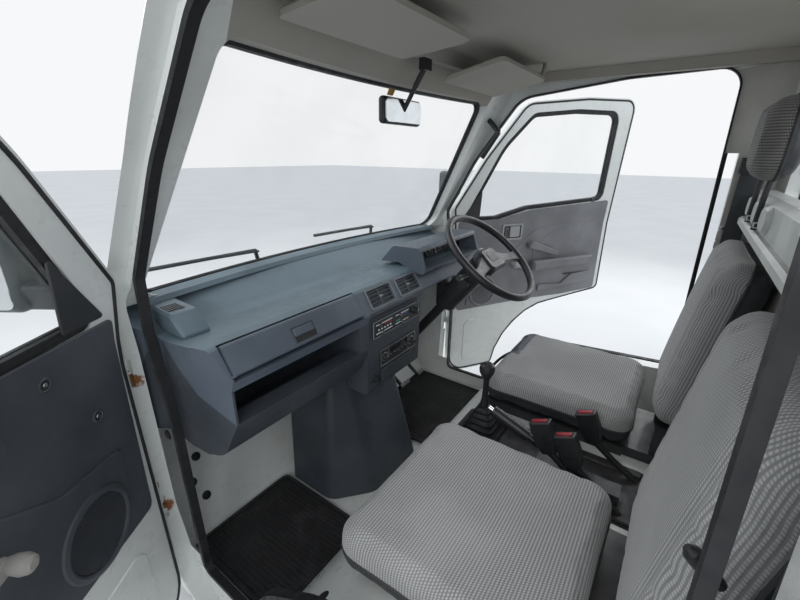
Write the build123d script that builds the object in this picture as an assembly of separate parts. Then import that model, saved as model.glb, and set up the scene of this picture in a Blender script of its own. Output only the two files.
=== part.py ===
from build123d import *
from math import asin, atan2, cos, radians, sin, sqrt
import os

# The cab of a small right-hand-drive truck, with both doors standing open.
# Millimetres. X points to the passenger's side, Y to the rear and Z up. The working datum is
# the centre plane, the inner face of the front wall and the footwell floor. The finished
# pieces are moved so that the origin lies on the mounting plane under the cab's two rails.

# Cab shell
CAB_HALF_WIDTH = 690.0
ROOF_HALF_WIDTH = 632.0
ROOF_Z = 1345.0
ROOF_EDGE_R = 40.0
ROOF_EDGE_STEPS = 3
CAB_REAR_Y = 1310.0
REAR_CORNER_R = 60.0
SHELL_WALL = 45.0
ROOF_WALL = 28.0
FLOOR_WALL = 25.0
NOSE_SPLIT_Y = 150.0
BELT_Z = 748.0
ROOF_SPLIT_Z = 1306.0
BACK_WALL = 40.0

# Door aperture and door
SEAL_INSET = 55.0
SEAL_TOP_INSET = 41.0
SEAL_PLANE_X = CAB_HALF_WIDTH - SEAL_INSET
SEAL_PLANE_TOP_X = ROOF_HALF_WIDTH - SEAL_TOP_INSET
SEAL_PLANE_BEND_Z = 714.0
SEAL_PLANE_TOP_Z = 1281.0
DOOR_GAP = 6.0
DOOR_SEAL_CLEAR = 7.0
TRIM_THICKNESS = 5.0
HINGE_INSET = 6.0
HINGE_X = CAB_HALF_WIDTH - HINGE_INSET
HINGE_Y = 190.0
HINGE_Z = (258.0, 620.0)
KNUCKLE_R = 9.0
KNUCKLE_H = 28.0
PIN_R = 5.0
PASSENGER_DOOR_OPEN = 55.0
DRIVER_DOOR_OPEN = 57.5
ARCH_Y = 840.0
ARCH_Z = -60.0
WHEEL_HOUSE_R = 338.0
WHEEL_HOUSE_WALL = 12.0
WHEEL_HOUSE_INNER_X = 405.0
DOOR_ARCH_STEP = 25.0
APERTURE_ARCH_STEP = 30.0
DOOR_ARCH_R = WHEEL_HOUSE_R + DOOR_ARCH_STEP
APERTURE_ARCH_R = DOOR_ARCH_R + APERTURE_ARCH_STEP
ARCH_TANGENTS = 2
ARCH_FILLET = 0.7
GLASS_T = 5.0
SPEAKER_R = 65.0
WEATHERSTRIP_T = 14.0

# Floor, platform and rails
TOE_Y = 120.0
TOE_TOP_Z = 210.0
PLATFORM_TOE_Y = 505.0
PLATFORM_FRONT_Y = 600.0
PLATFORM_Z = 262.0
PANEL_T = 12.0
RAIL_X = 300.0
RAIL_W = 60.0
RAIL_DEPTH = 75.0
MOUNT_HOLE_R = 7.0
MOUNT_LAND = 14.0
MOUNT_ACCESS_R = 20.0
MOUNT_SPACING_Y = 1000.0
MOUNT_Y = 650.0

# Dashboard
DASH_HALF_WIDTH = CAB_HALF_WIDTH - 90.0
DASH_FACE_Y = 384.0
DASH_FACE_TOP_Z = 698.0
DASH_FACE_LOW_Y = 425.0
DASH_FACE_LOW_Z = 634.0
TRAY_Z = 692.0
LID_X0 = 189.0
LID_X1 = 571.0
LID_T = 14.0
LID_GAP = 5.0
LID_PIN_Y = 422.0
LID_PIN_Z = 643.0
STACK_X0 = -112.0
STACK_X1 = 162.0
STACK_FACE_Y = 410.0
STACK_LOW_Z = 372.0
VENTS_X = ((31.0, 142.0), (-105.0, 4.0))
VENT_TOP = 9.0
VENT_H = 55.0
VENT_D = 20.0
DASH_UNDER_Y = 360.0
DASH_UNDER_Z = 600.0
SHELF_LIP_Z = 530.0
SHELF_LOW_Z = 450.0
CLUSTER_X0 = -520.0
CLUSTER_X1 = -112.0

# Steering
DRIVER_X = -316.0
WHEEL_CENTRE_Y = 563.0
WHEEL_CENTRE_Z = 729.0
WHEEL_R = 190.0
RIM_R = 13.0
COLUMN_TILT = 38.8
SHROUD_R = 42.0

# Seats
SEAT_INNER_PASSENGER = 105.0
SEAT_OUTER = CAB_HALF_WIDTH - 120.0
SEAT_INNER_DRIVER = 125.0
CUSHION_FRONT_Y = 625.0
CUSHION_REAR_Y = 1092.0
CUSHION_T = 100.0
CUSHION_OVER_HOUSE = 2.0
CUSHION_TOP_Z = ARCH_Z + WHEEL_HOUSE_R + WHEEL_HOUSE_WALL + CUSHION_OVER_HOUSE + CUSHION_T
BACK_T = 88.0
BACK_TOP_Z = 862.0
BACK_LEAN = 8.0
LEDGE_Z = 896.0

# Fit between seated pieces
SEAT = 0.3

ORIGIN = Vector(0, MOUNT_Y, -FLOOR_WALL - RAIL_DEPTH)


def closed_face(points, radii=None):
    """A flat face through 3D points with rounded corners."""
    corner_radii = radii if radii else [0] * len(points)
    return Face(Wire(FilletPolyline(*points, radius=corner_radii, close=True).edges()))


def prism_x(table, x0, x1):
    """Rows of y, z and corner radius, extruded from x0 to x1."""
    face = closed_face([(x0, y, z) for y, z, r in table], [r for y, z, r in table])
    return Solid.extrude(face, Vector(x1 - x0, 0, 0))


def prism_y(table, y0, y1):
    """Rows of x, z and corner radius, extruded from y0 to y1."""
    face = closed_face([(x, y0, z) for x, z, r in table], [r for x, z, r in table])
    return Solid.extrude(face, Vector(0, y1 - y0, 0))


def prism_z(table, z0, z1):
    """Rows of x, y and corner radius, extruded from z0 to z1."""
    face = closed_face([(x, y, z0) for x, y, r in table], [r for x, y, r in table])
    return Solid.extrude(face, Vector(0, 0, z1 - z0))


def block(x0, x1, y0, y1, z0, z1):
    """A box between two values on each axis."""
    size = (abs(x1 - x0), abs(y1 - y0), abs(z1 - z0))
    return Pos((x0 + x1) / 2, (y0 + y1) / 2, (z0 + z1) / 2) * Box(*size)


def soft_block(x0, x1, y0, y1, z0, z1, r):
    """A box with all its edges rounded."""
    body = block(x0, x1, y0, y1, z0, z1)
    return fillet(body.edges(), r)


def bar(start, end, r):
    """A round bar between two points."""
    a = Vector(*start)
    b = Vector(*end)
    return extrude(Plane(origin=a, z_dir=b - a) * Circle(r), (b - a).length)


def grow(table, amount, centre):
    """An outline moved outward from a centre, with its corner radii kept in step."""
    rows = []
    for u, v, r in table:
        du = amount if u > centre[0] else -amount
        dv = amount if v > centre[1] else -amount
        rows.append((u + du, v + dv, max(r + amount, 1.0)))
    return rows


def mirrored(shape):
    """The same piece on the other side of the centre plane."""
    return mirror(shape, about=Plane.YZ)


def save(name, shape):
    """Write a piece with the origin on the mounting plane."""
    moved = shape.moved(Location((-ORIGIN.X, -ORIGIN.Y, -ORIGIN.Z)))
    moved.label = name
    export_step(moved, "parts/" + name + ".step")


# Cab outline in plan at each height
# z, half width, nose y on the centre plane, corner's distance in from the side, corner y,
# y where the side starts
STATIONS = [
    (-FLOOR_WALL, CAB_HALF_WIDTH - 18.0, -42.0, 82.0, -18.0, 70.0),
    (250.0, CAB_HALF_WIDTH, -62.0, 90.0, -34.0, 70.0),
    (640.0, CAB_HALF_WIDTH, -55.0, 90.0, -27.0, 70.0),
    (715.0, CAB_HALF_WIDTH, -15.0, 82.0, 30.0, 120.0),
    (BELT_Z, CAB_HALF_WIDTH, 62.0, 68.0, 118.0, 188.0),
    (1240.0, ROOF_HALF_WIDTH, 352.0, 87.0, 405.0, 495.0),
    (ROOF_Z, ROOF_HALF_WIDTH - 12.0, 414.0, 92.0, 468.0, 565.0),
]


def station_at(z):
    """The outline's figures at any height, between the two nearest stations."""
    for low, high in zip(STATIONS, STATIONS[1:]):
        if low[0] <= z <= high[0]:
            t = (z - low[0]) / (high[0] - low[0])
            return (z,) + tuple(a + (b - a) * t for a, b in zip(low[1:], high[1:]))
    return (z,) + (STATIONS[0] if z < STATIONS[0][0] else STATIONS[-1])[1:]


def cab_outline(station, inset):
    """The plan outline at one height, moved inward by the inset."""
    z, width, nose, across, corner_y, side_y = station
    corner_x = width - across
    along = side_y - corner_y
    radius = (across**2 + along**2) / (2 * across)
    centre_x = width - radius
    angle = atan2(corner_y - side_y, corner_x - centre_x)
    r = radius - inset
    cx = centre_x + r * cos(angle)
    cy = side_y + r * sin(angle)
    mx = centre_x + r * cos(angle / 2)
    my = side_y + r * sin(angle / 2)
    w = width - inset
    rear = CAB_REAR_Y - inset
    rc = max(REAR_CORNER_R - inset, 2.0)
    k = rc * (1 - cos(radians(45)))
    edges = [
        ThreePointArc((-cx, cy, z), (0, nose + inset, z), (cx, cy, z)),
        ThreePointArc((cx, cy, z), (mx, my, z), (w, side_y, z)),
        Line((w, side_y, z), (w, rear - rc, z)),
        ThreePointArc((w, rear - rc, z), (w - k, rear - k, z), (w - rc, rear, z)),
        Line((w - rc, rear, z), (-w + rc, rear, z)),
        ThreePointArc((-w + rc, rear, z), (-w + k, rear - k, z), (-w, rear - rc, z)),
        Line((-w, rear - rc, z), (-w, side_y, z)),
        ThreePointArc((-w, side_y, z), (-mx, my, z), (-cx, cy, z)),
    ]
    return Face(Wire([e.edge() for e in edges]))


def cab_solid(inset, z_low, z_high, round_roof=False):
    """The cab's outer form, moved inward by the inset, between two heights."""
    rows = [station_at(z_low)]
    rows += [row for row in STATIONS if z_low < row[0] < z_high]
    outlines = [cab_outline(row, inset) for row in rows if not round_roof or row[0] < z_high - ROOF_EDGE_R]
    if round_roof:
        for step in range(ROOF_EDGE_STEPS + 1):
            angle = radians(90) * step / ROOF_EDGE_STEPS
            z = z_high - ROOF_EDGE_R * (1 - sin(angle))
            outlines.append(cab_outline(station_at(z), inset + ROOF_EDGE_R * (1 - cos(angle))))
    else:
        outlines.append(cab_outline(station_at(z_high), inset))
    return loft(outlines, ruled=True)


# Door aperture, seen from the side: y, z, corner radius
APERTURE_REAR_Y = 1120.0
APERTURE_LOW_REAR_Y = 1142.0
APERTURE_SILL_Z = 55.0
APERTURE_LOW_Z = ARCH_Z + APERTURE_ARCH_R


def arch_points(radius, z_start, r):
    """The start of the wheel arch's front quarter, and the corners of the tangents round it."""
    first = asin((z_start - ARCH_Z) / radius)
    step = (radians(90) - first) / ARCH_TANGENTS
    reach = radius / cos(step / 2)
    rows = [(ARCH_Y - radius * cos(first), z_start, r)]
    for i in range(ARCH_TANGENTS):
        angle = first + (i + 0.5) * step
        rows.append((ARCH_Y - reach * cos(angle), ARCH_Z + reach * sin(angle), ARCH_FILLET * radius))
    return rows


APERTURE = (
    [(262.0, APERTURE_SILL_Z, 26.0)]
    + arch_points(APERTURE_ARCH_R, APERTURE_SILL_Z, 40.0)
    + [
        (APERTURE_LOW_REAR_Y, APERTURE_LOW_Z + 30.0, 45.0),
        (APERTURE_REAR_Y, 1284.0, 55.0),
        (842.0, 1276.0, 300.0),
        (512.0, 1240.0, 100.0),
        (343.0, 1027.0, 400.0),
        (222.0, 818.0, 30.0),
        (240.0, 640.0, 60.0),
        (262.0, 540.0, 100.0),
    ]
)

# Door outline, closed, seen from the side: y, z, corner radius
DOOR_FRONT_Y = 212.0
DOOR_REAR_Y = 1146.0
DOOR_LOW_REAR_Y = 1168.0
DOOR_LOW_Z = -12.0
DOOR = (
    [(DOOR_FRONT_Y, DOOR_LOW_Z, 90.0)]
    + arch_points(DOOR_ARCH_R, DOOR_LOW_Z, 44.0)
    + [
        (DOOR_LOW_REAR_Y, ARCH_Z + DOOR_ARCH_R + 35.0, 36.0),
        (DOOR_REAR_Y, 1308.0, 60.0),
        (842.0, 1300.0, 300.0),
        (505.0, 1264.0, 120.0),
        (330.0, 1040.0, 400.0),
        (194.0, 826.0, 30.0),
        (DOOR_FRONT_Y, 660.0, 150.0),
    ]
)

# Door window opening: y, z, corner radius
DOOR_WINDOW = [
    (264.0, 774.0, 14.0),
    (430.0, 774.0, 80.0),
    (600.0, 815.0, 80.0),
    (1064.0, 846.0, 30.0),
    (1046.0, 1240.0, 45.0),
    (800.0, 1237.0, 300.0),
    (556.0, 1212.0, 60.0),
    (424.0, 1078.0, 300.0),
]

# Windscreen and rear window daylight openings: x, z, corner radius
WINDSCREEN_LOW_X = CAB_HALF_WIDTH - 81.0
WINDSCREEN_TOP_X = ROOF_HALF_WIDTH - 126.0
WINDSCREEN_LOW_Z = 753.0
WINDOW_TOP_Z = 1222.0
REAR_WINDOW_LOW_X = ROOF_HALF_WIDTH - 132.0
REAR_WINDOW_TOP_X = ROOF_HALF_WIDTH - 144.0
REAR_WINDOW_LOW_Z = 915.0
WINDSCREEN = [
    (-WINDSCREEN_LOW_X, WINDSCREEN_LOW_Z, 40.0),
    (WINDSCREEN_LOW_X, WINDSCREEN_LOW_Z, 40.0),
    (WINDSCREEN_TOP_X, WINDOW_TOP_Z, 45.0),
    (-WINDSCREEN_TOP_X, WINDOW_TOP_Z, 45.0),
]
REAR_WINDOW = [
    (-REAR_WINDOW_LOW_X, REAR_WINDOW_LOW_Z, 55.0),
    (REAR_WINDOW_LOW_X, REAR_WINDOW_LOW_Z, 55.0),
    (REAR_WINDOW_TOP_X, WINDOW_TOP_Z, 55.0),
    (-REAR_WINDOW_TOP_X, WINDOW_TOP_Z, 55.0),
]
GASKET_W = 16.0

# Headlamp body: low and high x, y and z
HEADLAMP = (CAB_HALF_WIDTH - 278.0, CAB_HALF_WIDTH - 90.0, -90.0, -28.0, 300.0, 420.0)
GASKET_COVER = 6.0


def seal_plane_solid(offset, side_x):
    """Everything outboard of the aperture's seal plane, moved outward by an offset."""
    slope = (SEAL_PLANE_X - SEAL_PLANE_TOP_X) / (SEAL_PLANE_TOP_Z - SEAL_PLANE_BEND_Z)
    top_x = SEAL_PLANE_X - slope * (ROOF_Z - SEAL_PLANE_BEND_Z)
    rows = [
        (SEAL_PLANE_X + offset, -2 * FLOOR_WALL, 0),
        (side_x, -2 * FLOOR_WALL, 0),
        (side_x, ROOF_Z, 0),
        (top_x + offset, ROOF_Z, 0),
        (SEAL_PLANE_X + offset, SEAL_PLANE_BEND_Z, 0),
    ]
    return prism_y(rows, 0, CAB_REAR_Y + SHELL_WALL)


def outline_grown(table, amount):
    """A side outline moved outward by an even amount."""
    face = closed_face([(0, y, z) for y, z, r in table], [r for y, z, r in table])
    grown = face.outer_wire().offset_2d(amount)
    return Face(grown)


def side_prism(table, amount, x0, x1):
    """A side outline, moved outward by an amount and extruded from x0 to x1."""
    return Solid.extrude(outline_grown(table, amount), Vector(x1 - x0, 0, 0)).moved(Location((x0, 0, 0)))


def wall_between(outer_inset, inner_inset, z_low, z_high):
    """The layer of the cab's form between two insets."""
    return cab_solid(outer_inset, z_low, z_high) - cab_solid(inner_inset, z_low, z_high)


def front_opening(amount):
    """The windscreen opening, grown by an amount, cut from before the nose into the cab."""
    return prism_y(grow(WINDSCREEN, amount, (0, 900)), -200, 620)


def rear_opening(amount):
    """The rear window opening, grown by an amount, cut through the back wall."""
    return prism_y(grow(REAR_WINDOW, amount, (0, 1000)), CAB_REAR_Y - 3 * SHELL_WALL, CAB_REAR_Y + SHELL_WALL)


def lamp_block(gap):
    """The rectangular headlamp's body, grown by a gap."""
    x0, x1, y0, y1, z0, z1 = HEADLAMP
    return block(x0 - gap, x1 + gap, y0, y1 + gap, z0 - gap, z1 + gap)


def side_wall_x(z):
    """The inner face of the cab's side wall at a height."""
    return station_at(z)[1] - SHELL_WALL


def wheel_drum(radius, x0, x1):
    """The round-topped space of a front wheel, from x0 to x1."""
    drum = Pos((x0 + x1) / 2, ARCH_Y, ARCH_Z) * Rot(0, 90, 0) * Cylinder(radius, x1 - x0)
    return drum + block(x0, x1, ARCH_Y - radius, ARCH_Y + radius, ARCH_Z - FLOOR_WALL, ARCH_Z)


def cab_shell():
    """The whole hollow cab with its openings, before it is parted into panels."""
    outer = cab_solid(0, -FLOOR_WALL, ROOF_Z, round_roof=True)
    shell = outer - cab_solid(SHELL_WALL, -2 * FLOOR_WALL, ROOF_Z - ROOF_WALL)
    shell -= front_opening(0)
    shell -= front_opening(GASKET_W + SEAT) & wall_between(-5, 16 + SEAT, 600, ROOF_Z)
    shell -= rear_opening(0)
    shell -= rear_opening(GASKET_W + SEAT) & wall_between(-5, 16 + SEAT, 800, ROOF_Z)
    rebate = side_prism(DOOR, DOOR_GAP, 400, 800) & seal_plane_solid(0, 800)
    aperture = side_prism(APERTURE, 0, 400, 800)
    arch = wheel_drum(WHEEL_HOUSE_R, 400, 800)
    pocket = Compound(children=[
        block(HINGE_X - 20, 800, HINGE_Y - 18, DOOR_FRONT_Y, z - KNUCKLE_H - 4, z + KNUCKLE_H + 4) for z in HINGE_Z
    ])
    lamp = lamp_block(SEAT)
    for cut in (rebate, aperture, arch, pocket, lamp):
        shell -= cut
        shell -= mirrored(cut)
    for z in HINGE_Z:
        fixed = Pos(HINGE_X, HINGE_Y, z - KNUCKLE_H / 2) * Cylinder(KNUCKLE_R, KNUCKLE_H)
        fixed += Pos(HINGE_X, HINGE_Y, z + KNUCKLE_H / 2) * Cylinder(PIN_R, KNUCKLE_H)
        fixed += block(HINGE_X - 20, HINGE_X, HINGE_Y - 5, HINGE_Y + 5, z - KNUCKLE_H, z)
        shell += fixed
        shell += mirrored(fixed)
    return shell


def cab_panels(shell):
    """The shell parted where the real panels meet."""
    far = 900
    nose = block(-far, far, -200, NOSE_SPLIT_Y, -100, BELT_Z + 12)
    roof = block(-far, far, -200, 1500, ROOF_SPLIT_Z, 1500)
    back = block(-far, far, CAB_REAR_Y - BACK_WALL - 35, 1500, -100, ROOF_SPLIT_Z)
    header = block(-REAR_WINDOW_LOW_X, REAR_WINDOW_LOW_X, 200, 700, 1200, ROOF_SPLIT_Z)
    save("front_panel", shell & nose)
    save("roof_panel", shell & roof)
    save("back_panel", shell & back)
    save("windscreen_header", shell & header)
    sides = shell - nose - roof - back - header
    save("side_frame_passenger", sides & block(0, far, -200, 1500, -200, 1500))
    save("side_frame_driver", sides & block(-far, 0, -200, 1500, -200, 1500))


def glazing(name, opening, z_low, z_high):
    """A fixed pane in its rubber gasket, which clips over the panel's edge."""
    pane = opening(8) & wall_between(6, 6 + GLASS_T, z_low, z_high)
    ring = opening(GASKET_W) - opening(-GASKET_COVER)
    gasket = (ring & wall_between(0, 16, z_low, z_high)) - pane
    save(name + "_glass", pane)
    save(name + "_gasket", gasket)


def floor():
    """The footwell floor and sloping toe board, on two closed rails with the mounting holes."""
    half = CAB_HALF_WIDTH - SHELL_WALL - SEAT - 2
    rows = [
        (-13, -FLOOR_WALL, 0),
        (PLATFORM_TOE_Y, -FLOOR_WALL, 0),
        (PLATFORM_TOE_Y, 0, 0),
        (TOE_Y, 0, 30),
        (12, TOE_TOP_Z, 30),
        (12, 640, 0),
        (-5, 640, 0),
    ]
    plate = prism_x(rows, -half, half) & cab_solid(SHELL_WALL + SEAT, -FLOOR_WALL, 700)
    drum = wheel_drum(WHEEL_HOUSE_R + WHEEL_HOUSE_WALL + SEAT, WHEEL_HOUSE_INNER_X - SEAT, CAB_HALF_WIDTH)
    plate -= drum
    plate -= mirrored(drum)
    mount_y = [MOUNT_Y - MOUNT_SPACING_Y / 2, MOUNT_Y + MOUNT_SPACING_Y / 2]
    rail_z = -FLOOR_WALL - RAIL_DEPTH
    rails = []
    for side in (-1, 1):
        x = side * RAIL_X
        rail = block(x - RAIL_W / 2, x + RAIL_W / 2, 30, CAB_REAR_Y - 60, rail_z, -FLOOR_WALL)
        for y in mount_y:
            rail -= Pos(x, y, rail_z) * Cylinder(MOUNT_HOLE_R, 60)
            rail -= Pos(x, y, rail_z + MOUNT_LAND + RAIL_DEPTH / 2) * Cylinder(MOUNT_ACCESS_R, RAIL_DEPTH)
        rails.append(rail)
    save("floor_pan", plate)
    save("cab_rails", Compound(children=rails))


def platform():
    """The raised seat platform between the wheel houses, open below over the rails."""
    x = WHEEL_HOUSE_INNER_X - SEAT
    rows = [
        (PLATFORM_TOE_Y + SEAT, -FLOOR_WALL, 0),
        (PLATFORM_TOE_Y + SEAT + 20, -FLOOR_WALL, 0),
        (PLATFORM_FRONT_Y + 16, PLATFORM_Z - PANEL_T, 20),
        (CAB_REAR_Y - SHELL_WALL - SEAT, PLATFORM_Z - PANEL_T, 0),
        (CAB_REAR_Y - SHELL_WALL - SEAT, PLATFORM_Z, 0),
        (PLATFORM_FRONT_Y, PLATFORM_Z, 30),
        (PLATFORM_TOE_Y + SEAT, 0, 0),
    ]
    save("seat_platform", prism_x(rows, -x, x))


def wheel_houses():
    """The arched housings over the front wheels, beside the platform."""
    outer_x = CAB_HALF_WIDTH - SHELL_WALL
    house = wheel_drum(WHEEL_HOUSE_R + WHEEL_HOUSE_WALL, WHEEL_HOUSE_INNER_X, outer_x)
    house -= wheel_drum(WHEEL_HOUSE_R, WHEEL_HOUSE_INNER_X + WHEEL_HOUSE_WALL, outer_x)
    house = house & cab_solid(SHELL_WALL + SEAT, -FLOOR_WALL, 700)
    save("wheel_house_passenger", house)
    save("wheel_house_driver", mirrored(house))


def door(side):
    """One door, drawn closed on the passenger's side, then mirrored if need be and swung open."""
    outer = cab_solid(0, -FLOOR_WALL, ROOF_Z)
    inner_plane = DOOR_SEAL_CLEAR + TRIM_THICKNESS
    skin = side_prism(DOOR, 0, 400, 800) & seal_plane_solid(inner_plane, 800) & outer
    shell = skin - side_prism(DOOR_WINDOW, 12, 400, 800)
    for z in HINGE_Z:
        low = z + SEAT
        leaf = block(HINGE_X - 5, HINGE_X + 5, HINGE_Y, DOOR_FRONT_Y + 4, low, low + KNUCKLE_H)
        knuckle = Pos(HINGE_X, HINGE_Y, low + KNUCKLE_H / 2) * Cylinder(KNUCKLE_R, KNUCKLE_H)
        bore = Pos(HINGE_X, HINGE_Y, z + KNUCKLE_H / 2) * Cylinder(PIN_R + 0.3, 2 * KNUCKLE_H)
        shell += leaf + knuckle
        shell -= bore
    glass_layer = seal_plane_solid(inner_plane + 14, 800) - seal_plane_solid(inner_plane + 14 + GLASS_T, 900)
    pane = side_prism(DOOR_WINDOW, 0, 400, 800) & glass_layer
    run = side_prism(DOOR_WINDOW, 12 - SEAT, 400, 800) - side_prism(DOOR_WINDOW, -6, 400, 800)
    run = run & (seal_plane_solid(inner_plane + 4, 800) - seal_plane_solid(inner_plane + 26, 900)) - pane
    trim_rows = [
        (300, 326, 20), (640, 338, 60), (900, 336, 60), (1116, 354, 16), (1108, 826, 16),
        (620, 794, 60), (440, 752, 60), (300, 746, 30),
    ]
    trim = prism_x(trim_rows, 400, 800)
    trim = trim & (seal_plane_solid(DOOR_SEAL_CLEAR, 800) - seal_plane_solid(inner_plane - SEAT, 900))
    x = SEAL_PLANE_X + DOOR_SEAL_CLEAR
    trim += prism_x([(650, 540, 12), (1040, 562, 12), (1040, 592, 12), (650, 575, 12)], x - 46, x)
    trim -= Pos(x, 423, 402) * Rot(0, 90, 0) * Cylinder(SPEAKER_R + 1, 30)
    speaker = Pos(x - 1, 423, 402) * Rot(0, 90, 0) * Cylinder(SPEAKER_R, 10)
    crank = Pos(x - 8, 600, 505) * Rot(0, 90, 0) * Cylinder(24, 16)
    crank += prism_x([(536, 506, 6), (600, 494, 8), (600, 516, 8), (536, 524, 6)], x - 26, x - 15)
    crank += Pos(x - 38, 541, 515) * Rot(0, 90, 0) * Cylinder(11, 28)
    pull = prism_x([(640, 636, 8), (800, 592, 8), (806, 612, 8), (648, 656, 8)], x - 30, x - 18)
    pull += block(x - 20, x, 648, 668, 632, 652) + block(x - 20, x, 780, 800, 594, 612)
    bezel = prism_x([(506, 679, 6), (611, 679, 6), (611, 744, 6), (506, 744, 6)], 500, 800)
    bezel = bezel & (seal_plane_solid(DOOR_SEAL_CLEAR - 4, 800) - seal_plane_solid(DOOR_SEAL_CLEAR, 900))
    mirror_arm = prism_x([(222, 796, 8), (264, 790, 8), (280, 838, 8), (250, 846, 8)], 660, CAB_HALF_WIDTH + 60)
    mirror_head = soft_block(CAB_HALF_WIDTH + 45, CAB_HALF_WIDTH + 185, 232, 287, 790, 975, 18)
    pieces = {
        "door_shell": shell, "door_trim": trim, "door_glass": pane,
        "door_glass_run": run, "door_fittings": Compound(children=[speaker, crank, pull, bezel]),
        "door_mirror": (mirror_head + mirror_arm) - outer,
    }
    angle = PASSENGER_DOOR_OPEN if side == "passenger" else DRIVER_DOOR_OPEN
    for name, shape in pieces.items():
        swung = shape.rotate(Axis((HINGE_X, HINGE_Y, 0), (0, 0, 1)), -angle)
        save(side + "_" + name, swung if side == "passenger" else mirrored(swung))


def weatherstrips():
    """The black bulb seals that line both door apertures."""
    ring = side_prism(APERTURE, WEATHERSTRIP_T / 2, 400, 800) - side_prism(APERTURE, -5, 400, 800)
    ring = ring & (seal_plane_solid(-16, 800) - seal_plane_solid(2, 900))
    core = side_prism(APERTURE, -0.2, 400, 800) & (seal_plane_solid(-16, 800) - seal_plane_solid(2, 900))
    lip = ring & (seal_plane_solid(SEAT, 800) - seal_plane_solid(2, 900))
    strip = (ring & core) + lip
    save("door_seal_passenger", strip)
    save("door_seal_driver", mirrored(strip))


def headliner():
    """The moulded roof lining, a shallow tray under the roof skin."""
    top = ROOF_Z - ROOF_WALL - SEAT
    tray = cab_solid(SHELL_WALL + 17, top - 40, top) - cab_solid(SHELL_WALL + 40, top - 60, top - 12)
    tray -= block(-900, 900, CAB_REAR_Y - SHELL_WALL - 30, 1500, 0, 1500)
    save("headliner", tray)


def dash_upper_rows():
    """The section of the dashboard's ledge, riser, tray and slanted face: y, z, corner radius."""
    face = (DASH_FACE_Y, DASH_FACE_TOP_Z)
    low = (DASH_FACE_LOW_Y, DASH_FACE_LOW_Z)
    return [
        (12 + SEAT, 560, 0), (12 + SEAT, 640 + SEAT, 0), (0, 640 + SEAT, 0), (0, 690, 0), (70, 740, 10),
        (128, 740, 14), (216, TRAY_Z + 2, 20), (250, TRAY_Z, 30),
        (face[0] - 26, TRAY_Z + 10, 30), (face[0], face[1], 14), (low[0], low[1], 4),
    ]


def dash_driver_solid():
    """The dashboard's shallower part on the driver's side."""
    rows = dash_upper_rows() + [(DASH_UNDER_Y, DASH_UNDER_Z, 20), (240, 560, 20)]
    return prism_x(rows, -DASH_HALF_WIDTH, STACK_X1)


def vent_prism(gap):
    """The bodies of the two centre vents, set square to the slanted face, grown by a gap."""
    run = Vector(DASH_FACE_LOW_Y - DASH_FACE_Y, DASH_FACE_LOW_Z - DASH_FACE_TOP_Z).normalized()
    out = Vector(-run.Y, run.X)
    corners = []
    for along, depth in ((VENT_TOP - gap, 2), (VENT_TOP + VENT_H + gap, 2), (VENT_TOP + VENT_H + gap, -VENT_D - gap), (VENT_TOP - gap, -VENT_D - gap)):
        y = DASH_FACE_Y + run.X * along + out.X * depth
        z = DASH_FACE_TOP_Z + run.Y * along + out.Y * depth
        corners.append((y, z, 0))
    bodies = [prism_x(corners, x0 - gap, x1 + gap) for x0, x1 in VENTS_X]
    return Compound(children=bodies)


def dash():
    """The dashboard moulding with its tray, glovebox, open shelf and stepped ends."""
    face = (DASH_FACE_Y, DASH_FACE_TOP_Z)
    low = (DASH_FACE_LOW_Y, DASH_FACE_LOW_Z)
    rows = dash_upper_rows() + [
        (low[0] - 6, low[1] - 22, 4), (low[0] - 6, SHELF_LIP_Z, 8), (low[0] - 40, SHELF_LOW_Z, 20),
        (238, SHELF_LOW_Z, 10), (120, 470, 20), (60, 556, 0),
    ]
    half = DASH_HALF_WIDTH
    body = prism_x(rows, STACK_X1, half)
    body += dash_driver_solid()
    body = body & cab_solid(SHELL_WALL + SEAT, 400, 900)
    body -= vent_prism(SEAT)
    lid_box = [(face[0] + 30, face[1] + 20, 0), (low[0] + 30, low[1] - 3, 0), (low[0] - 20, low[1] - 3, 0), (face[0] - 20, face[1] - 8, 0)]
    body -= prism_x(lid_box, LID_X0 - LID_GAP, LID_X1 + LID_GAP)
    body -= block(LID_X0 + 12, LID_X1 - 12, 250, 420, low[1] + 4, 682)
    body -= block(200, half - 20, 250, 500, SHELF_LIP_Z + 2, low[1] - 24)
    shelf_hollow = block(200, half - 20, 255, 372, SHELF_LOW_Z + 14, SHELF_LIP_Z + 10)
    body -= shelf_hollow
    body -= block(-half + 30, STACK_X0 - 8, 200, 330, 500, 660)
    body -= block(STACK_X0 - SEAT, STACK_X1, 280, 500, 300, DASH_FACE_LOW_Z - 2 + SEAT)
    save("dash_moulding", body)
    lean = atan2(low[0] - face[0], face[1] - low[1])
    lid_h = sqrt((low[0] - face[0]) ** 2 + (face[1] - low[1]) ** 2)
    section = [
        (0, 2, 2), (LID_T, 2, 5), (LID_T, lid_h - 6, 10), (0, lid_h - 6, 2),
    ]
    turned = []
    for u, v, r in section:
        turned.append((low[0] + u * cos(lean) - v * sin(lean) - LID_T + 4, low[1] + v * cos(lean) + u * sin(lean), r))
    lid = prism_x(turned, LID_X0, LID_X1)
    for x0, x1 in ((LID_X0 - LID_GAP + SEAT, LID_X0 + 4), (LID_X1 - 4, LID_X1 + LID_GAP - SEAT)):
        lid += bar((x0, LID_PIN_Y, LID_PIN_Z), (x1, LID_PIN_Y, LID_PIN_Z), 3)
    save("glovebox_lid", lid)


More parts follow.
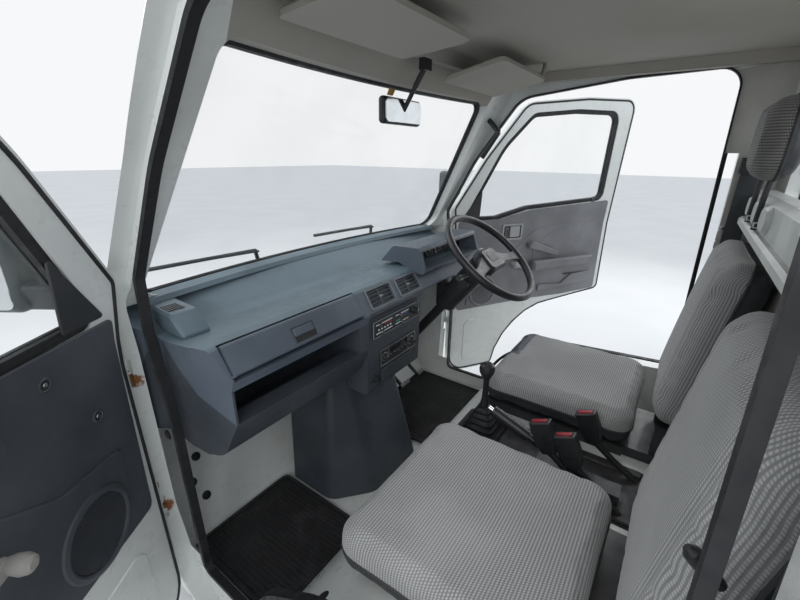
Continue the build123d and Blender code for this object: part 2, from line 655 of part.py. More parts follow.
def centre_stack():
    """The centre console under the vents, with the heater slides, the radio and the ashtray."""
    rows = [
        (300, DASH_FACE_LOW_Z - 2, 0), (DASH_FACE_LOW_Y + SEAT + 1, DASH_FACE_LOW_Z - 2, 4), (STACK_FACE_Y + 4, 610, 8),
        (STACK_FACE_Y, STACK_LOW_Z, 14), (330, STACK_LOW_Z, 20), (300, 480, 0),
    ]
    stack = prism_x(rows, STACK_X0, STACK_X1 - SEAT)
    heater = block(-94, 140, STACK_FACE_Y - 20, STACK_FACE_Y + 8, 552, 602)
    radio = block(-74, 104, STACK_FACE_Y - 40, STACK_FACE_Y + 6, 449, 499)
    tray = block(-60, 100, STACK_FACE_Y - 30, STACK_FACE_Y + 4, 392, 432)
    stack -= block(-94 - SEAT, 140 + SEAT, STACK_FACE_Y - 20 - SEAT, 500, 552 - SEAT, 602 + SEAT)
    stack -= block(-74 - SEAT, 104 + SEAT, STACK_FACE_Y - 40 - SEAT, 500, 449 - SEAT, 499 + SEAT)
    stack -= block(-60 - SEAT, 100 + SEAT, STACK_FACE_Y - 30 - SEAT, 500, 392 - SEAT, 432 + SEAT)
    save("centre_stack", stack)
    save("radio_heater_panel", Compound(children=[heater, radio, tray]))
    save("dash_vents", vent_prism(0))


def heater_cover():
    """The moulded cover that hides the heater under the dashboard, flared out at the floor."""
    low = closed_face([(-110, 146, SEAT), (262, 146, SEAT), (262, 330, SEAT), (150, 425, SEAT), (-100, 425, SEAT)], [20, 20, 60, 60, 30])
    high = closed_face([(-90, 70, 440), (185, 70, 440), (185, 270, 440), (140, 296, 440), (-90, 296, 440)], [20, 20, 30, 30, 30])
    cover = loft([low, high], ruled=True)
    save("heater_cover", cover)


def cluster():
    """The hooded housing of the round dials ahead of the steering wheel."""
    rows = [(250, TRAY_Z + 14, 0), (300, 764, 30), (402, 768, 14), (430, 684, 10), (DASH_FACE_Y + SEAT + 6, 684, 0), (DASH_FACE_Y - 60, 712, 0)]
    hood = prism_x(rows, CLUSTER_X0, CLUSTER_X1)
    hood -= prism_x([(330, 752, 6), (460, 756, 0), (460, 696, 0), (340, 700, 4)], CLUSTER_X0 + 14, CLUSTER_X1 - 14)
    save("cluster_hood", hood - dash_driver_solid())


def steering():
    """The steering wheel on its tilted column, with the shroud, the two stalks and the key lock."""
    tilt = radians(COLUMN_TILT)
    axis = Vector(0, sin(tilt), cos(tilt))
    centre = Vector(DRIVER_X, WHEEL_CENTRE_Y, WHEEL_CENTRE_Z)
    plane = Plane(origin=centre, x_dir=(1, 0, 0), z_dir=axis)
    rim = plane * Torus(WHEEL_R - RIM_R, RIM_R)
    hub = plane * Pos(0, 0, -28) * Cylinder(46, 44)
    pad = plane * Pos(0, -6, -14) * Box(120, 96, 34)
    wheel = rim + hub + pad
    for angle in (200, 340):
        spoke = plane * Rot(0, 0, angle) * Pos(112, 0, -12) * Box(150, 34, 14)
        wheel += spoke & (plane * Pos(0, 0, -12) * Cylinder(WHEEL_R - RIM_R, 60))
    save("steering_wheel", wheel)
    top = centre - axis * (50 + SEAT)
    low = centre - axis * 640
    shroud = bar(top, centre - axis * 260, SHROUD_R)
    shroud += bar(centre - axis * 255, low, 18)
    for side in (-1, 1):
        root = centre - axis * 84 + Vector(side * 30, 0, 0)
        tip = root + Vector(side * 130, 0, 0) + axis * 24
        shroud += bar(root, tip, 6)
        shroud += bar(tip - Vector(side * 26, 0, 0) - axis * 5, tip, 9)
    lock = centre - axis * 120
    shroud += bar(lock, lock + Vector(62, 8, -4), 17)
    rise = (DASH_FACE_LOW_Z - DASH_UNDER_Z) / (DASH_FACE_LOW_Y - DASH_UNDER_Y)
    bracket = [(372, 520, 0), (404, 520, 0)]
    bracket += [(y, DASH_UNDER_Z + rise * (y - DASH_UNDER_Y) - 1.2 * SEAT, 0) for y in (404, 372)]
    shroud += prism_x(bracket, DRIVER_X - 25, DRIVER_X + 25)
    save("steering_column", shroud)


def pedals():
    """The clutch, brake and accelerator pedals hung under the dashboard."""
    rows = [(-388, 62), (-268, 88), (-184, 88)]
    swing = []
    for x, width in rows:
        arm = bar((x, 210, 470), (x, 190, 150), 8) + bar((x, 190, 152), (x, 236, 120), 8)
        pad = Pos(x, 236, 118) * Rot(-38, 0, 0) * Box(width * 0.7, 12, 58)
        swing.append(arm + pad)
    hanger = block(-420, -180, 180, 236, 462, 500) + block(-420, -180, 100, 190, 480, 560)
    save("pedals", Compound(children=[hanger.fuse(*swing)]))


def levers():
    """The gear lever in its stacked rubber boot, and the handbrake beside it."""
    base = (-30, 700)
    boot = Pos(base[0], base[1], PLATFORM_Z + 5 + SEAT) * Box(132, 124, 10)
    for step in range(5):
        side = 104 - 14 * step
        boot += Pos(base[0], base[1], PLATFORM_Z + 18 + SEAT + 16 * step) * Box(side, side, 17)
    boot += bar((base[0], base[1], PLATFORM_Z + 80), (base[0], base[1] - 2, 448), 9)
    boot += Pos(base[0], base[1] - 2, 467) * Sphere(23)
    save("gear_lever", boot)
    brake = block(2, 48, 880, 1080, PLATFORM_Z + SEAT, PLATFORM_Z + 34)
    brake += bar((25, 1000, PLATFORM_Z + 30), (25, 850, 348), 10) + bar((25, 850, 348), (25, 748, 386), 15)
    save("handbrake", brake)
    buckles = []
    for x, y, z in ((70, 900, 420), (70, 960, 408), (-72, 980, 396)):
        stalk = bar((x, y + 130, PLATFORM_Z - 30), (x, y + 20, z - 50), 8)
        stalk += Pos(x, y, z - 20) * Rot(24, 0, 0) * Box(22, 48, 84)
        buckles.append(stalk - block(x - 20, x + 20, y, y + 200, PLATFORM_Z - 60, PLATFORM_Z + SEAT))
    save("belt_buckles", Compound(children=buckles))


def seats():
    """Both seats: cushions on their frames, leaning backrests and the wall-mounted headrests."""
    sides = (("passenger", SEAT_INNER_PASSENGER, SEAT_OUTER), ("driver", SEAT_INNER_DRIVER, SEAT_OUTER))
    frames = []
    for name, x0, x1 in sides:
        z0 = CUSHION_TOP_Z - CUSHION_T
        cushion = soft_block(x0, x1, CUSHION_FRONT_Y, CUSHION_REAR_Y, z0, CUSHION_TOP_Z, 34)
        back = soft_block(x0 + 6, x1 - 6, 0, BACK_T, 0, BACK_TOP_Z - CUSHION_TOP_Z + 40, 34)
        back = Pos(0, CUSHION_REAR_Y + 8, CUSHION_TOP_Z - 26) * Rot(-BACK_LEAN, 0, 0) * back
        frame = block(x0 + 30, x1 - 178, CUSHION_FRONT_Y + 30, CUSHION_REAR_Y - 30, PLATFORM_Z + SEAT, z0 - SEAT)
        bracket = block(x0 + 40, x1 - 180, CUSHION_REAR_Y - 30, CUSHION_REAR_Y + 110, PLATFORM_Z + SEAT, PLATFORM_Z + 30)
        frame = frame + bracket
        for x in (x0 + 50, x1 - 220):
            frame += block(x, x + 30, CUSHION_REAR_Y + 30, CUSHION_REAR_Y + 80, PLATFORM_Z + 20, CUSHION_TOP_Z)
        frame -= Pos(0, 0, -SEAT) * back
        pad = soft_block(DRIVER_X - 130, DRIVER_X + 110, 1166, 1238, 995, 1180, 30)
        if name == "driver":
            cushion, back, frame = mirrored(cushion), mirrored(back), mirrored(frame)
        save(name + "_cushion", cushion)
        save(name + "_backrest", back)
        frames.append(frame)
    save("seat_frames", Compound(children=frames))
    save("headrest_pads", Compound(children=[pad, mirrored(pad)]))
    posts = []
    for x in (DRIVER_X - 60, DRIVER_X + 40):
        post = bar((x, 1210, LEDGE_Z - 4), (x, 1202, 994.1), 7)
        posts += [post, mirrored(post)]
    ledge_y = CAB_REAR_Y - SHELL_WALL - SEAT
    ledge = block(-560, 560, ledge_y - 70, ledge_y, LEDGE_Z - 20, LEDGE_Z)
    save("headrest_ledge", Compound(children=[ledge.fuse(*posts)]))


def fittings():
    """Sun visors, mirror, grab handle, belts, wipers, lamps, bumper and mats."""
    z = ROOF_Z - ROOF_WALL - 52
    visors = []
    for x0, x1 in ((80, 440), (-440, -80)):
        visors.append(soft_block(x0, x1, 470, 640, z - 20, z, 8))
        visors.append(bar((x0 + 60, 530, z - 2), (x0 + 60, 530, ROOF_Z - ROOF_WALL - 12 - 2 * SEAT), 5))
    save("sun_visors", visors[0].fuse(visors[1]) + visors[2].fuse(visors[3]))
    glass = soft_block(-132, 44, 362, 386, 1124, 1190, 10)
    stalk = bar((-44, 384, 1160), (-44, 420, 1215), 6) + bar((-44, 420, 1215), (-44, 452, 1262), 7)
    foot = block(-62, -26, 442, 458, 1250, ROOF_Z - ROOF_WALL - SEAT - 40 - SEAT)
    save("interior_mirror", glass + stalk + foot)
    belts = []
    for side in (-1, 1):
        low_x = side_wall_x(555) - 24
        high_x = side_wall_x(1012) - 16
        rows = [(side * x, z, 0) for x, z in ((low_x, 555), (low_x + 3, 555), (high_x + 3, 1012), (high_x, 1012))]
        spool = block(side * (low_x - 23), side * (low_x + 39), 1164, 1228, 430, 560)
        web = prism_y(rows, 1173, 1219)
        guide = block(side * (high_x - 13), side * (high_x + 42), 1168, 1224, 1008, 1050)
        belts.append(spool.fuse(web, guide))
    save("seat_belts", Compound(children=belts) & cab_solid(SHELL_WALL + SEAT, 300, 1200))
    handle = bar((-560, 398, 1180), (-556, 452, 1128), 9) + bar((-556, 452, 1128), (-566, 390, 1040), 9)
    save("grab_handle", handle & cab_solid(SHELL_WALL + SEAT, 900, 1300))
    wipers = []
    for x in (-330, 210):
        pivot = (x, 24, 716)
        arm = bar(pivot, (x + 30, 52, 778), 6) + bar((x + 30, 52, 778), (x + 350, 70, 790), 5)
        wipers.append(arm)
    outer = cab_solid(-SEAT, 600, 900)
    save("wipers", Compound(children=[arm - outer for arm in wipers]))
    lamp = lamp_block(0) & cab_solid(-5, 200, 500)
    save("headlamps", Compound(children=[lamp, mirrored(lamp)]))
    bumper = cab_solid(-38, 20, 190) - cab_solid(SEAT - 1, -20, 300) & block(-900, 900, -300, 60, -100, 300)
    save("front_bumper", bumper)
    mats = [soft_block(x0, x1, TOE_Y + 14, PLATFORM_TOE_Y - 12, SEAT, 9, 4) for x0, x1 in ((275, 600), (-590, -130))]
    save("floor_mats", Compound(children=mats))


os.makedirs("parts", exist_ok=True)
cab_panels(cab_shell())
glazing("windscreen", front_opening, 600, ROOF_Z)
glazing("rear", rear_opening, 800, ROOF_Z - 2)
floor()
platform()
wheel_houses()
door("passenger")
door("driver")
weatherstrips()
headliner()
dash()
centre_stack()
heater_cover()
cluster()
steering()
pedals()
levers()
seats()
fittings()
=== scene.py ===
import logging
from dataclasses import dataclass
from enum import Enum
from math import cos, pi, radians, sin, tau
from typing import Callable, Iterable, Sequence

import bmesh
import bpy
from mathutils import Matrix, Vector
from mathutils.bvhtree import BVHTree


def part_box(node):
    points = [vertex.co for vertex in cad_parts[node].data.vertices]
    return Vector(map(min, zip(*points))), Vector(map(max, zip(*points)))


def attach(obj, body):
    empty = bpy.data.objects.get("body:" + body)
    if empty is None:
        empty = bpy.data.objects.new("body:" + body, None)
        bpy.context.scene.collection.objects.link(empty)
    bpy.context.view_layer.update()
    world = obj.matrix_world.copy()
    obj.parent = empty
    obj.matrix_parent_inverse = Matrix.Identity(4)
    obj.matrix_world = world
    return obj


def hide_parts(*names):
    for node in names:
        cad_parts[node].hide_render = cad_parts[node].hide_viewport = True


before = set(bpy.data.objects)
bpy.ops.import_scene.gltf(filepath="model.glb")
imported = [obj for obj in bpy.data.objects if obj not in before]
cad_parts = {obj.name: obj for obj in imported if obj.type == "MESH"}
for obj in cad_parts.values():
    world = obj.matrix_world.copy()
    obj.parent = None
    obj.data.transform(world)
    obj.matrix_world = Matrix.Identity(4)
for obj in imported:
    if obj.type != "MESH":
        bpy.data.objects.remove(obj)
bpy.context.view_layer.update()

log = logging.getLogger("cab")

# The cab's working datum, as the solids use it: millimetres, with X to the passenger's side from
# the centre plane, Y rearwards from the front wall and Z up from the footwell floor.
DATUM_Y = 650.0
DATUM_Z = -100.0
MM = 0.001
SHARP_ANGLE = radians(27)

Point = tuple[float, float, float]
Span = tuple[float, float]
Colour = tuple[float, float, float]
Socket = bpy.types.NodeSocket
Value = float | tuple[float, ...] | Socket


def at(x: float, y: float, z: float) -> Vector:
    """A point of the cab's working datum, in the frame's metres."""
    return Vector((x * MM, (y - DATUM_Y) * MM, (z - DATUM_Z) * MM))


class Body(str, Enum):
    """The moving bodies of the cab."""

    CAB = "cab"
    PASSENGER_DOOR = "passenger_door"
    DRIVER_DOOR = "driver_door"
    WHEEL = "steering_wheel"
    LID = "glovebox_lid"


class Axis(Enum):
    """One of the three directions, by its place in a vector."""

    X = 0
    Y = 1
    Z = 2


def tinted(colour: Colour, tint: Colour) -> Colour:
    """A colour multiplied by a tint."""
    return tuple(c * f for c, f in zip(colour, tint))


class Graph:
    """A material with a short way of writing its nodes."""

    def __init__(self, name: str) -> None:
        """Start an empty node tree with its shader and output.

        Args:
            name: The material's name.
        """
        self.material = bpy.data.materials.new(name)
        self.material.use_nodes = True
        self.tree = self.material.node_tree
        self.tree.nodes.clear()
        self.output = self.tree.nodes.new("ShaderNodeOutputMaterial")
        self.shader = self.tree.nodes.new("ShaderNodeBsdfPrincipled")
        self.link(self.shader.outputs["BSDF"], self.output.inputs["Surface"])
        coordinates = self.tree.nodes.new("ShaderNodeTexCoord")
        self.place = coordinates.outputs["Object"]
        self.unfolded = coordinates.outputs["UV"]

    def link(self, source: Socket, target: Socket) -> None:
        """Join two sockets."""
        self.tree.links.new(source, target)

    def put(self, socket: Socket, value: Value) -> None:
        """Give a socket a value or join it to another.

        Args:
            socket: The socket.
            value: A number, a colour or another socket.
        """
        if isinstance(value, Socket):
            self.link(value, socket)
        else:
            socket.default_value = value

    def set(self, **values: Value) -> None:
        """Set the shader's own sockets by name, with underscores for spaces."""
        for key, value in values.items():
            self.put(self.shader.inputs[key.replace("_", " ")], value)

    def math(self, operation: str, first: Value, second: Value = 0.0) -> Socket:
        """One Math node's result.

        Args:
            operation: The node's operation.
            first: Its first operand.
            second: Its second operand.

        Returns:
            The result's socket.
        """
        node = self.tree.nodes.new("ShaderNodeMath")
        node.operation = operation
        for socket, value in zip(node.inputs, (first, second)):
            self.put(socket, value)
        return node.outputs[0]

    def axis(self, which: Axis, vector: Socket) -> Socket:
        """One coordinate of a vector.

        Args:
            which: The coordinate.
            vector: The vector.

        Returns:
            The coordinate's socket.
        """
        node = self.tree.nodes.new("ShaderNodeSeparateXYZ")
        self.link(vector, node.inputs[0])
        return node.outputs[which.value]

    def noise(self, scale: float, detail: float = 3.0) -> Socket:
        """A noise between 0 and 1.

        Args:
            scale: Its scale.
            detail: How many finer layers it has.

        Returns:
            The noise's socket.
        """
        node = self.tree.nodes.new("ShaderNodeTexNoise")
        node.inputs["Scale"].default_value = scale
        node.inputs["Detail"].default_value = detail
        self.link(self.place, node.inputs["Vector"])
        return node.outputs[0]

    def cells(self, scale: float) -> Socket:
        """The distance to the nearest of scattered cell centres.

        Args:
            scale: The cells' scale.

        Returns:
            The distance's socket.
        """
        node = self.tree.nodes.new("ShaderNodeTexVoronoi")
        node.inputs["Scale"].default_value = scale
        self.link(self.place, node.inputs["Vector"])
        return node.outputs["Distance"]

    def span(self, value: Value, low: float, high: float, to_low: float = 0.0,
             to_high: float = 1.0) -> Socket:
        """Map a value from one range to another, smooth and held at its ends.

        Args:
            value: The value to map.
            low: The low end of its range.
            high: The high end of its range.
            to_low: The result at the low end.
            to_high: The result at the high end.

        Returns:
            The mapped value.
        """
        node = self.tree.nodes.new("ShaderNodeMapRange")
        node.interpolation_type = "SMOOTHSTEP"
        for socket, number in zip(node.inputs, (value, low, high, to_low, to_high)):
            self.put(socket, number)
        return node.outputs[0]

    def near(self, centre: Vector, inner: float, outer: float) -> Socket:
        """Mark what lies near a point of the object.

        Args:
            centre: The point.
            inner: The distance up to which the mark is 1.
            outer: The distance from which it is 0.

        Returns:
            The mark.
        """
        node = self.tree.nodes.new("ShaderNodeVectorMath")
        node.operation = "DISTANCE"
        self.link(self.place, node.inputs[0])
        node.inputs[1].default_value = centre
        return self.span(node.outputs["Value"], outer, inner)

    def blend(self, share: Value, first: Value, second: Value) -> Socket:
        """Mix two colours.

        Args:
            share: The second colour's share.
            first: The first colour.
            second: The second colour.

        Returns:
            The mixed colour.
        """
        node = self.tree.nodes.new("ShaderNodeMix")
        node.data_type = "RGBA"
        self.put(node.inputs[0], share)
        for socket, value in ((node.inputs[6], first), (node.inputs[7], second)):
            self.put(socket, value if isinstance(value, Socket) else (*value, 1.0))
        return node.outputs[2]

    def bump(self, height: Socket, depth: float, strength: float = 1.0) -> None:
        """Put relief on the shader.

        Args:
            height: The relief's height, from 0 to 1.
            depth: What a height of 1 is in metres.
            strength: How strongly it shows.
        """
        node = self.tree.nodes.new("ShaderNodeBump")
        node.inputs["Distance"].default_value = depth
        node.inputs["Strength"].default_value = strength
        self.link(height, node.inputs["Height"])
        self.link(node.outputs[0], self.shader.inputs["Normal"])


@dataclass(frozen=True)
class Plastic:
    """A moulded plastic with a fine grain and a little dust."""

    name: str
    colour: Colour
    roughness: float = 0.55
    grain: float = 1400.0
    grain_depth: float = 0.00012
    dust: float = 0.25

    def build(self) -> bpy.types.Material:
        """Build the finish's material.

        Returns:
            The material.
        """
        g = Graph(self.name)
        broad = g.noise(5.0, 4.0)
        dark = tuple(c * 0.86 for c in self.colour)
        light = tuple(min(c * 1.16 + 0.01, 1.0) for c in self.colour)
        g.set(
            Base_Color=g.blend(g.span(broad, 0.35, 0.65), dark, light),
            Roughness=g.span(g.noise(60.0), 0.2, 0.8, self.roughness - 0.07, self.roughness + 0.08),
        )
        g.set(Specular_IOR_Level=0.5)
        g.bump(g.cells(self.grain), self.grain_depth, self.dust * 2)
        return g.material


@dataclass(frozen=True)
class Paint:
    """Glossy white enamel, grimy in random patches and rusted round the hinges."""

    name: str
    colour: Colour
    roughness: float = 0.3
    rust_at: tuple[Point, ...] = ()
    rust_reach: float = 0.035

    def build(self) -> bpy.types.Material:
        """Build the finish's material.

        Returns:
            The material.
        """
        g = Graph(self.name)
        grime = g.math("MULTIPLY", g.span(g.noise(7.0, 6.0), 0.45, 0.75), 0.35)
        clean = g.blend(grime, self.colour, tinted(self.colour, (0.78, 0.76, 0.7)))
        colour = clean
        roughness = g.span(g.noise(30.0), 0.3, 0.7, self.roughness - 0.05, self.roughness + 0.1)
        if self.rust_at:
            total = None
            for point in self.rust_at:
                spot = g.near(at(*point), self.rust_reach * 0.2, self.rust_reach)
                total = spot if total is None else g.math("MAXIMUM", total, spot)
            broken = g.span(g.math("ADD", total, g.noise(110.0, 8.0)), 1.12, 1.42)
            rust = g.blend(g.noise(200.0, 5.0), (0.12, 0.035, 0.01), (0.42, 0.17, 0.05))
            colour = g.blend(broken, clean, rust)
            roughness = g.math("ADD", roughness, g.math("MULTIPLY", broken, 0.5))
        g.set(Base_Color=colour, Roughness=roughness, Coat_Weight=0.25, Coat_Roughness=0.12)
        g.bump(g.noise(260.0, 2.0), 0.00012, 0.35)
        return g.material


@dataclass(frozen=True)
class Rubber:
    """Matte black rubber with a faint bloom."""

    name: str
    colour: Colour = (0.012, 0.012, 0.014)
    roughness: float = 0.62

    def build(self) -> bpy.types.Material:
        """Build the finish's material.

        Returns:
            The material.
        """
        g = Graph(self.name)
        bloom = g.span(g.noise(14.0, 5.0), 0.5, 0.8, 0.0, 0.5)
        g.set(Base_Color=g.blend(bloom, self.colour, tuple(c * 2.6 + 0.008 for c in self.colour)))
        g.set(Roughness=g.span(g.noise(45.0), 0.3, 0.7, self.roughness - 0.1, self.roughness + 0.12))
        g.bump(g.noise(900.0, 3.0), 0.00015, 0.5)
        return g.material


@dataclass(frozen=True)
class Glass:
    """Thin clear safety glass, seen through, with soft reflections."""

    name: str
    colour: Colour = (0.72, 0.84, 0.81)
    opacity: float = 0.06

    def build(self) -> bpy.types.Material:
        """Build the finish's material.

        Returns:
            The material.
        """
        g = Graph(self.name)
        haze = g.span(g.noise(3.5, 5.0), 0.4, 0.75, self.opacity * 0.8, self.opacity * 1.5)
        g.set(Base_Color=(*self.colour, 1.0), Roughness=0.03, Specular_IOR_Level=1.0, Alpha=haze)
        g.set(Coat_Weight=1.0, Coat_Roughness=0.02)
        return g.material


@dataclass(frozen=True)
class Metal:
    """Bare or plated metal."""

    name: str
    colour: Colour
    roughness: float = 0.28
    brushed: float = 400.0

    def build(self) -> bpy.types.Material:
        """Build the finish's material.

        Returns:
            The material.
        """
        g = Graph(self.name)
        g.set(Base_Color=g.blend(g.noise(25.0), self.colour, tuple(c * 0.7 for c in self.colour)))
        g.set(Metallic=1.0)
        g.set(Roughness=g.span(g.noise(self.brushed), 0.3, 0.7, self.roughness - 0.08, self.roughness + 0.14))
        return g.material


@dataclass(frozen=True)
class Tweed:
    """Seat cloth of ropelike ribs, each made of slanted light and dark dashes."""

    name: str
    rib_axis: Axis
    run_axis: Axis
    dark: Colour = (0.18, 0.182, 0.19)
    light: Colour = (0.53, 0.528, 0.515)
    pitch: float = 0.0058
    dash: float = 0.0046
    slant: float = 0.45

    def build(self) -> bpy.types.Material:
        """Build the finish's material.

        Returns:
            The material.
        """
        g = Graph(self.name)
        across = g.axis(self.rib_axis, g.unfolded)
        along = g.axis(self.run_axis, g.unfolded)
        wave = g.math("SINE", g.math("MULTIPLY", across, tau / self.pitch))
        slanted = g.math("ADD", along, g.math("MULTIPLY", across, self.slant))
        dash = g.math("SINE", g.math("MULTIPLY", slanted, tau / self.dash))
        fine = g.math("SINE", g.math("MULTIPLY", along, tau / (self.dash * 0.31)))
        rib = g.span(wave, -0.9, 0.7)
        cord = g.math("MULTIPLY", rib, g.span(dash, -0.75, 0.6, 0.3, 1.0))
        fuzz = g.math("MULTIPLY", g.noise(900.0, 3.0), 0.28)
        worn = g.span(g.noise(4.2, 3.0), 0.38, 0.66, -0.05, 0.12)
        share = g.math("ADD", g.math("ADD", g.math("MULTIPLY", cord, 0.82), fuzz), worn)
        share = g.math("ADD", share, g.math("MULTIPLY", fine, 0.03))
        clipped = g.math("MINIMUM", g.math("MAXIMUM", share, 0.0), 1.0)
        g.set(Base_Color=g.blend(clipped, self.dark, self.light), Roughness=0.93)
        g.set(Sheen_Weight=0.25, Sheen_Roughness=0.5, Specular_IOR_Level=0.2)
        g.bump(g.math("ADD", cord, fuzz), 0.0009, 0.75)
        return g.material


@dataclass(frozen=True)
class Vinyl:
    """Grained seat vinyl."""

    name: str
    colour: Colour
    roughness: float = 0.48

    def build(self) -> bpy.types.Material:
        """Build the finish's material.

        Returns:
            The material.
        """
        g = Graph(self.name)
        soft = g.span(g.noise(9.0, 4.0), 0.35, 0.7)
        g.set(Base_Color=g.blend(soft, self.colour, tuple(c * 1.35 + 0.004 for c in self.colour)))
        g.set(Roughness=g.span(g.noise(50.0), 0.3, 0.7, self.roughness - 0.06, self.roughness + 0.1))
        g.bump(g.cells(620.0), 0.0003, 0.5)
        return g.material


@dataclass(frozen=True)
class Lining:
    """The moulded roof lining, a felt-like skin with a fine nap."""

    name: str
    colour: Colour

    def build(self) -> bpy.types.Material:
        """Build the finish's material.

        Returns:
            The material.
        """
        g = Graph(self.name)
        stain = g.span(g.noise(3.0, 6.0), 0.45, 0.72, 0.0, 0.6)
        g.set(Base_Color=g.blend(stain, self.colour, tinted(self.colour, (0.86, 0.83, 0.76))))
        g.set(Roughness=0.85, Specular_IOR_Level=0.25)
        g.bump(g.noise(1500.0, 4.0), 0.0002, 0.6)
        return g.material


RUST_POINTS: tuple[Point, ...] = (
    (688.0, 205.0, 640.0), (660.0, 196.0, 600.0), (664.0, 204.0, 258.0), (646.0, 250.0, 212.0),
    (684.0, 214.0, 330.0), (650.0, 226.0, 160.0), (690.0, 160.0, 716.0), (640.0, 300.0, 62.0),
)


class Finishes:
    """Every finish of the cab, each built once."""

    PALETTE = {
        finish.name: finish
        for finish in (
            Paint("body_white", (0.72, 0.74, 0.72), rust_at=RUST_POINTS),
            Paint("under_black", (0.03, 0.03, 0.033), 0.5),
            Glass("glass"),
            Glass("lamp_glass", (0.86, 0.9, 0.92), 0.35),
            Plastic("indicator", (0.75, 0.2, 0.01), 0.2, 300.0, 0.0003),
            Rubber("seal", (0.01, 0.01, 0.012), 0.6),
            Rubber("mat", (0.03, 0.029, 0.031), 0.5),
            Plastic("slate", (0.085, 0.105, 0.135), 0.5),
            # A lighter copy of slate for the dashboard's top: a painted highlight, the sky's reflection on
            # its upward faces painted into the colour.
            Plastic("slate_painted_highlight", (0.115, 0.16, 0.19), 0.46),
            Plastic("slate_dark", (0.042, 0.05, 0.062), 0.5),
            Plastic("charcoal", (0.05, 0.056, 0.066), 0.5),
            Plastic("grey_trim", (0.17, 0.17, 0.18), 0.5),
            Plastic("black", (0.014, 0.015, 0.017), 0.42),
            Plastic("black_gloss", (0.008, 0.008, 0.01), 0.18, 200.0, 0.00002),
            Plastic("tab_grey", (0.28, 0.27, 0.25), 0.45),
            Plastic("pillar_trim", (0.5, 0.49, 0.45), 0.5),
            Plastic("slate_light", (0.16, 0.18, 0.2), 0.48),
            Plastic("silver_grey", (0.3, 0.3, 0.31), 0.4),
            Plastic("amber", (0.7, 0.33, 0.03), 0.5),
            Plastic("white_plastic", (0.62, 0.64, 0.62), 0.4),
            Plastic("teal", (0.03, 0.35, 0.3), 0.4),
            Plastic("dial_face", (0.012, 0.014, 0.016), 0.5),
            Lining("beige", (0.42, 0.4, 0.36)),
            Tweed("cloth_seat", Axis.Y, Axis.X),
            Tweed("cloth_back", Axis.X, Axis.Y),
            Tweed("cloth_pad", Axis.Y, Axis.X, (0.06, 0.06, 0.06), (0.3, 0.29, 0.27)),
            Vinyl("vinyl_dark", (0.03, 0.032, 0.035)),
            Vinyl("vinyl_slate", (0.07, 0.08, 0.095)),
            Metal("chrome", (0.82, 0.82, 0.84), 0.16),
            Metal("steel", (0.5, 0.49, 0.47), 0.38),
            Metal("silver", (0.6, 0.6, 0.6), 0.32),
            Metal("mirror", (0.9, 0.92, 0.92), 0.03),
            Plastic("red", (0.42, 0.02, 0.035), 0.35),
            Plastic("blue", (0.02, 0.1, 0.4), 0.35),
            Plastic("white_mark", (0.75, 0.76, 0.76), 0.5),
            Vinyl("webbing", (0.045, 0.05, 0.055), 0.7),
        )
    }

    def __init__(self) -> None:
        """Start with nothing built."""
        self._built: dict[str, bpy.types.Material] = {}

    def get(self, name: str) -> bpy.types.Material:
        """The material of a finish, built when it is first asked for.

        Args:
            name: The finish's name.

        Returns:
            The material.
        """
        if name not in self._built:
            self._built[name] = self.PALETTE[name].build()
        return self._built[name]


FINISHES = Finishes()


def mesh_object(name: str, mesh: bpy.types.Mesh, *finishes: str) -> bpy.types.Object:
    """Link a mesh as an object with its finishes.

    Args:
        name: The piece's name.
        mesh: Its mesh, already in place.
        finishes: Names from the palette, in slot order.

    Returns:
        The linked object.
    """
    piece = bpy.data.objects.new(name, mesh)
    if mesh.materials:
        mesh.materials.clear()
    for finish in finishes:
        mesh.materials.append(FINISHES.get(finish))
    bpy.context.scene.collection.objects.link(piece)
    return piece


def from_bmesh(name: str, bm: bmesh.types.BMesh, *finishes: str, smooth: bool = True) -> bpy.types.Object:
    """Turn a bmesh into a linked object.

    Args:
        name: The piece's name.
        bm: The mesh under construction, freed here.
        finishes: Names from the palette, in slot order.
        smooth: Whether its faces are shaded smooth.

    Returns:
        The linked object.
    """
    bmesh.ops.recalc_face_normals(bm, faces=bm.faces)
    mesh = bpy.data.meshes.new(name)
    for face in bm.faces:
        face.smooth = smooth
    for edge in bm.edges:
        edge.smooth = len(edge.link_faces) == 2 and edge.calc_face_angle(0.0) < SHARP_ANGLE
    bm.to_mesh(mesh)
    bm.free()
    return mesh_object(name, mesh, *finishes)


def seat_on(piece: bpy.types.Object, body: Body, slot: str, *replaced: str) -> bpy.types.Object:
    """Tie a finished piece to its body and hide the nodes that it replaces.

    Args:
        piece: The piece.
        body: The body that carries it.
        slot: Not used.
        replaced: The construction's nodes that it stands for.

    Returns:
        The same piece.
    """
    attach(piece, body.value)
    if replaced:
        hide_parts(*replaced)
    return piece


def settled_mesh(piece: bpy.types.Object) -> bpy.types.Mesh:
    """The piece's mesh with its live modifiers worked in."""
    graph = bpy.context.evaluated_depsgraph_get()
    return bpy.data.meshes.new_from_object(piece.evaluated_get(graph))


def without_repeats(things: Iterable) -> list:
    """The things in the order that they come in, each once."""
    return list(dict.fromkeys(things))


def split(bm: bmesh.types.BMesh, spot: Vector, way: Sequence[float]) -> None:
    """Cut every face that a plane crosses and keep both sides."""
    everything = bm.verts[:] + bm.edges[:] + bm.faces[:]
    bmesh.ops.bisect_plane(bm, geom=everything, plane_co=spot, plane_no=way)


def circle(u: float, v: float, radius: float, sides: int, count: int | None = None) -> list[Span]:
    """Points round a circle.

    Args:
        u: Its centre's place across.
        v: Its centre's place upward.
        radius: Its radius.
        sides: How many points the whole circle has.
        count: How many of them are wanted, or all where it isn't given.

    Returns:
        The points in order.
    """
    turns = [tau * k / sides for k in range(sides if count is None else count)]
    return [(u + radius * cos(turn), v + radius * sin(turn)) for turn in turns]


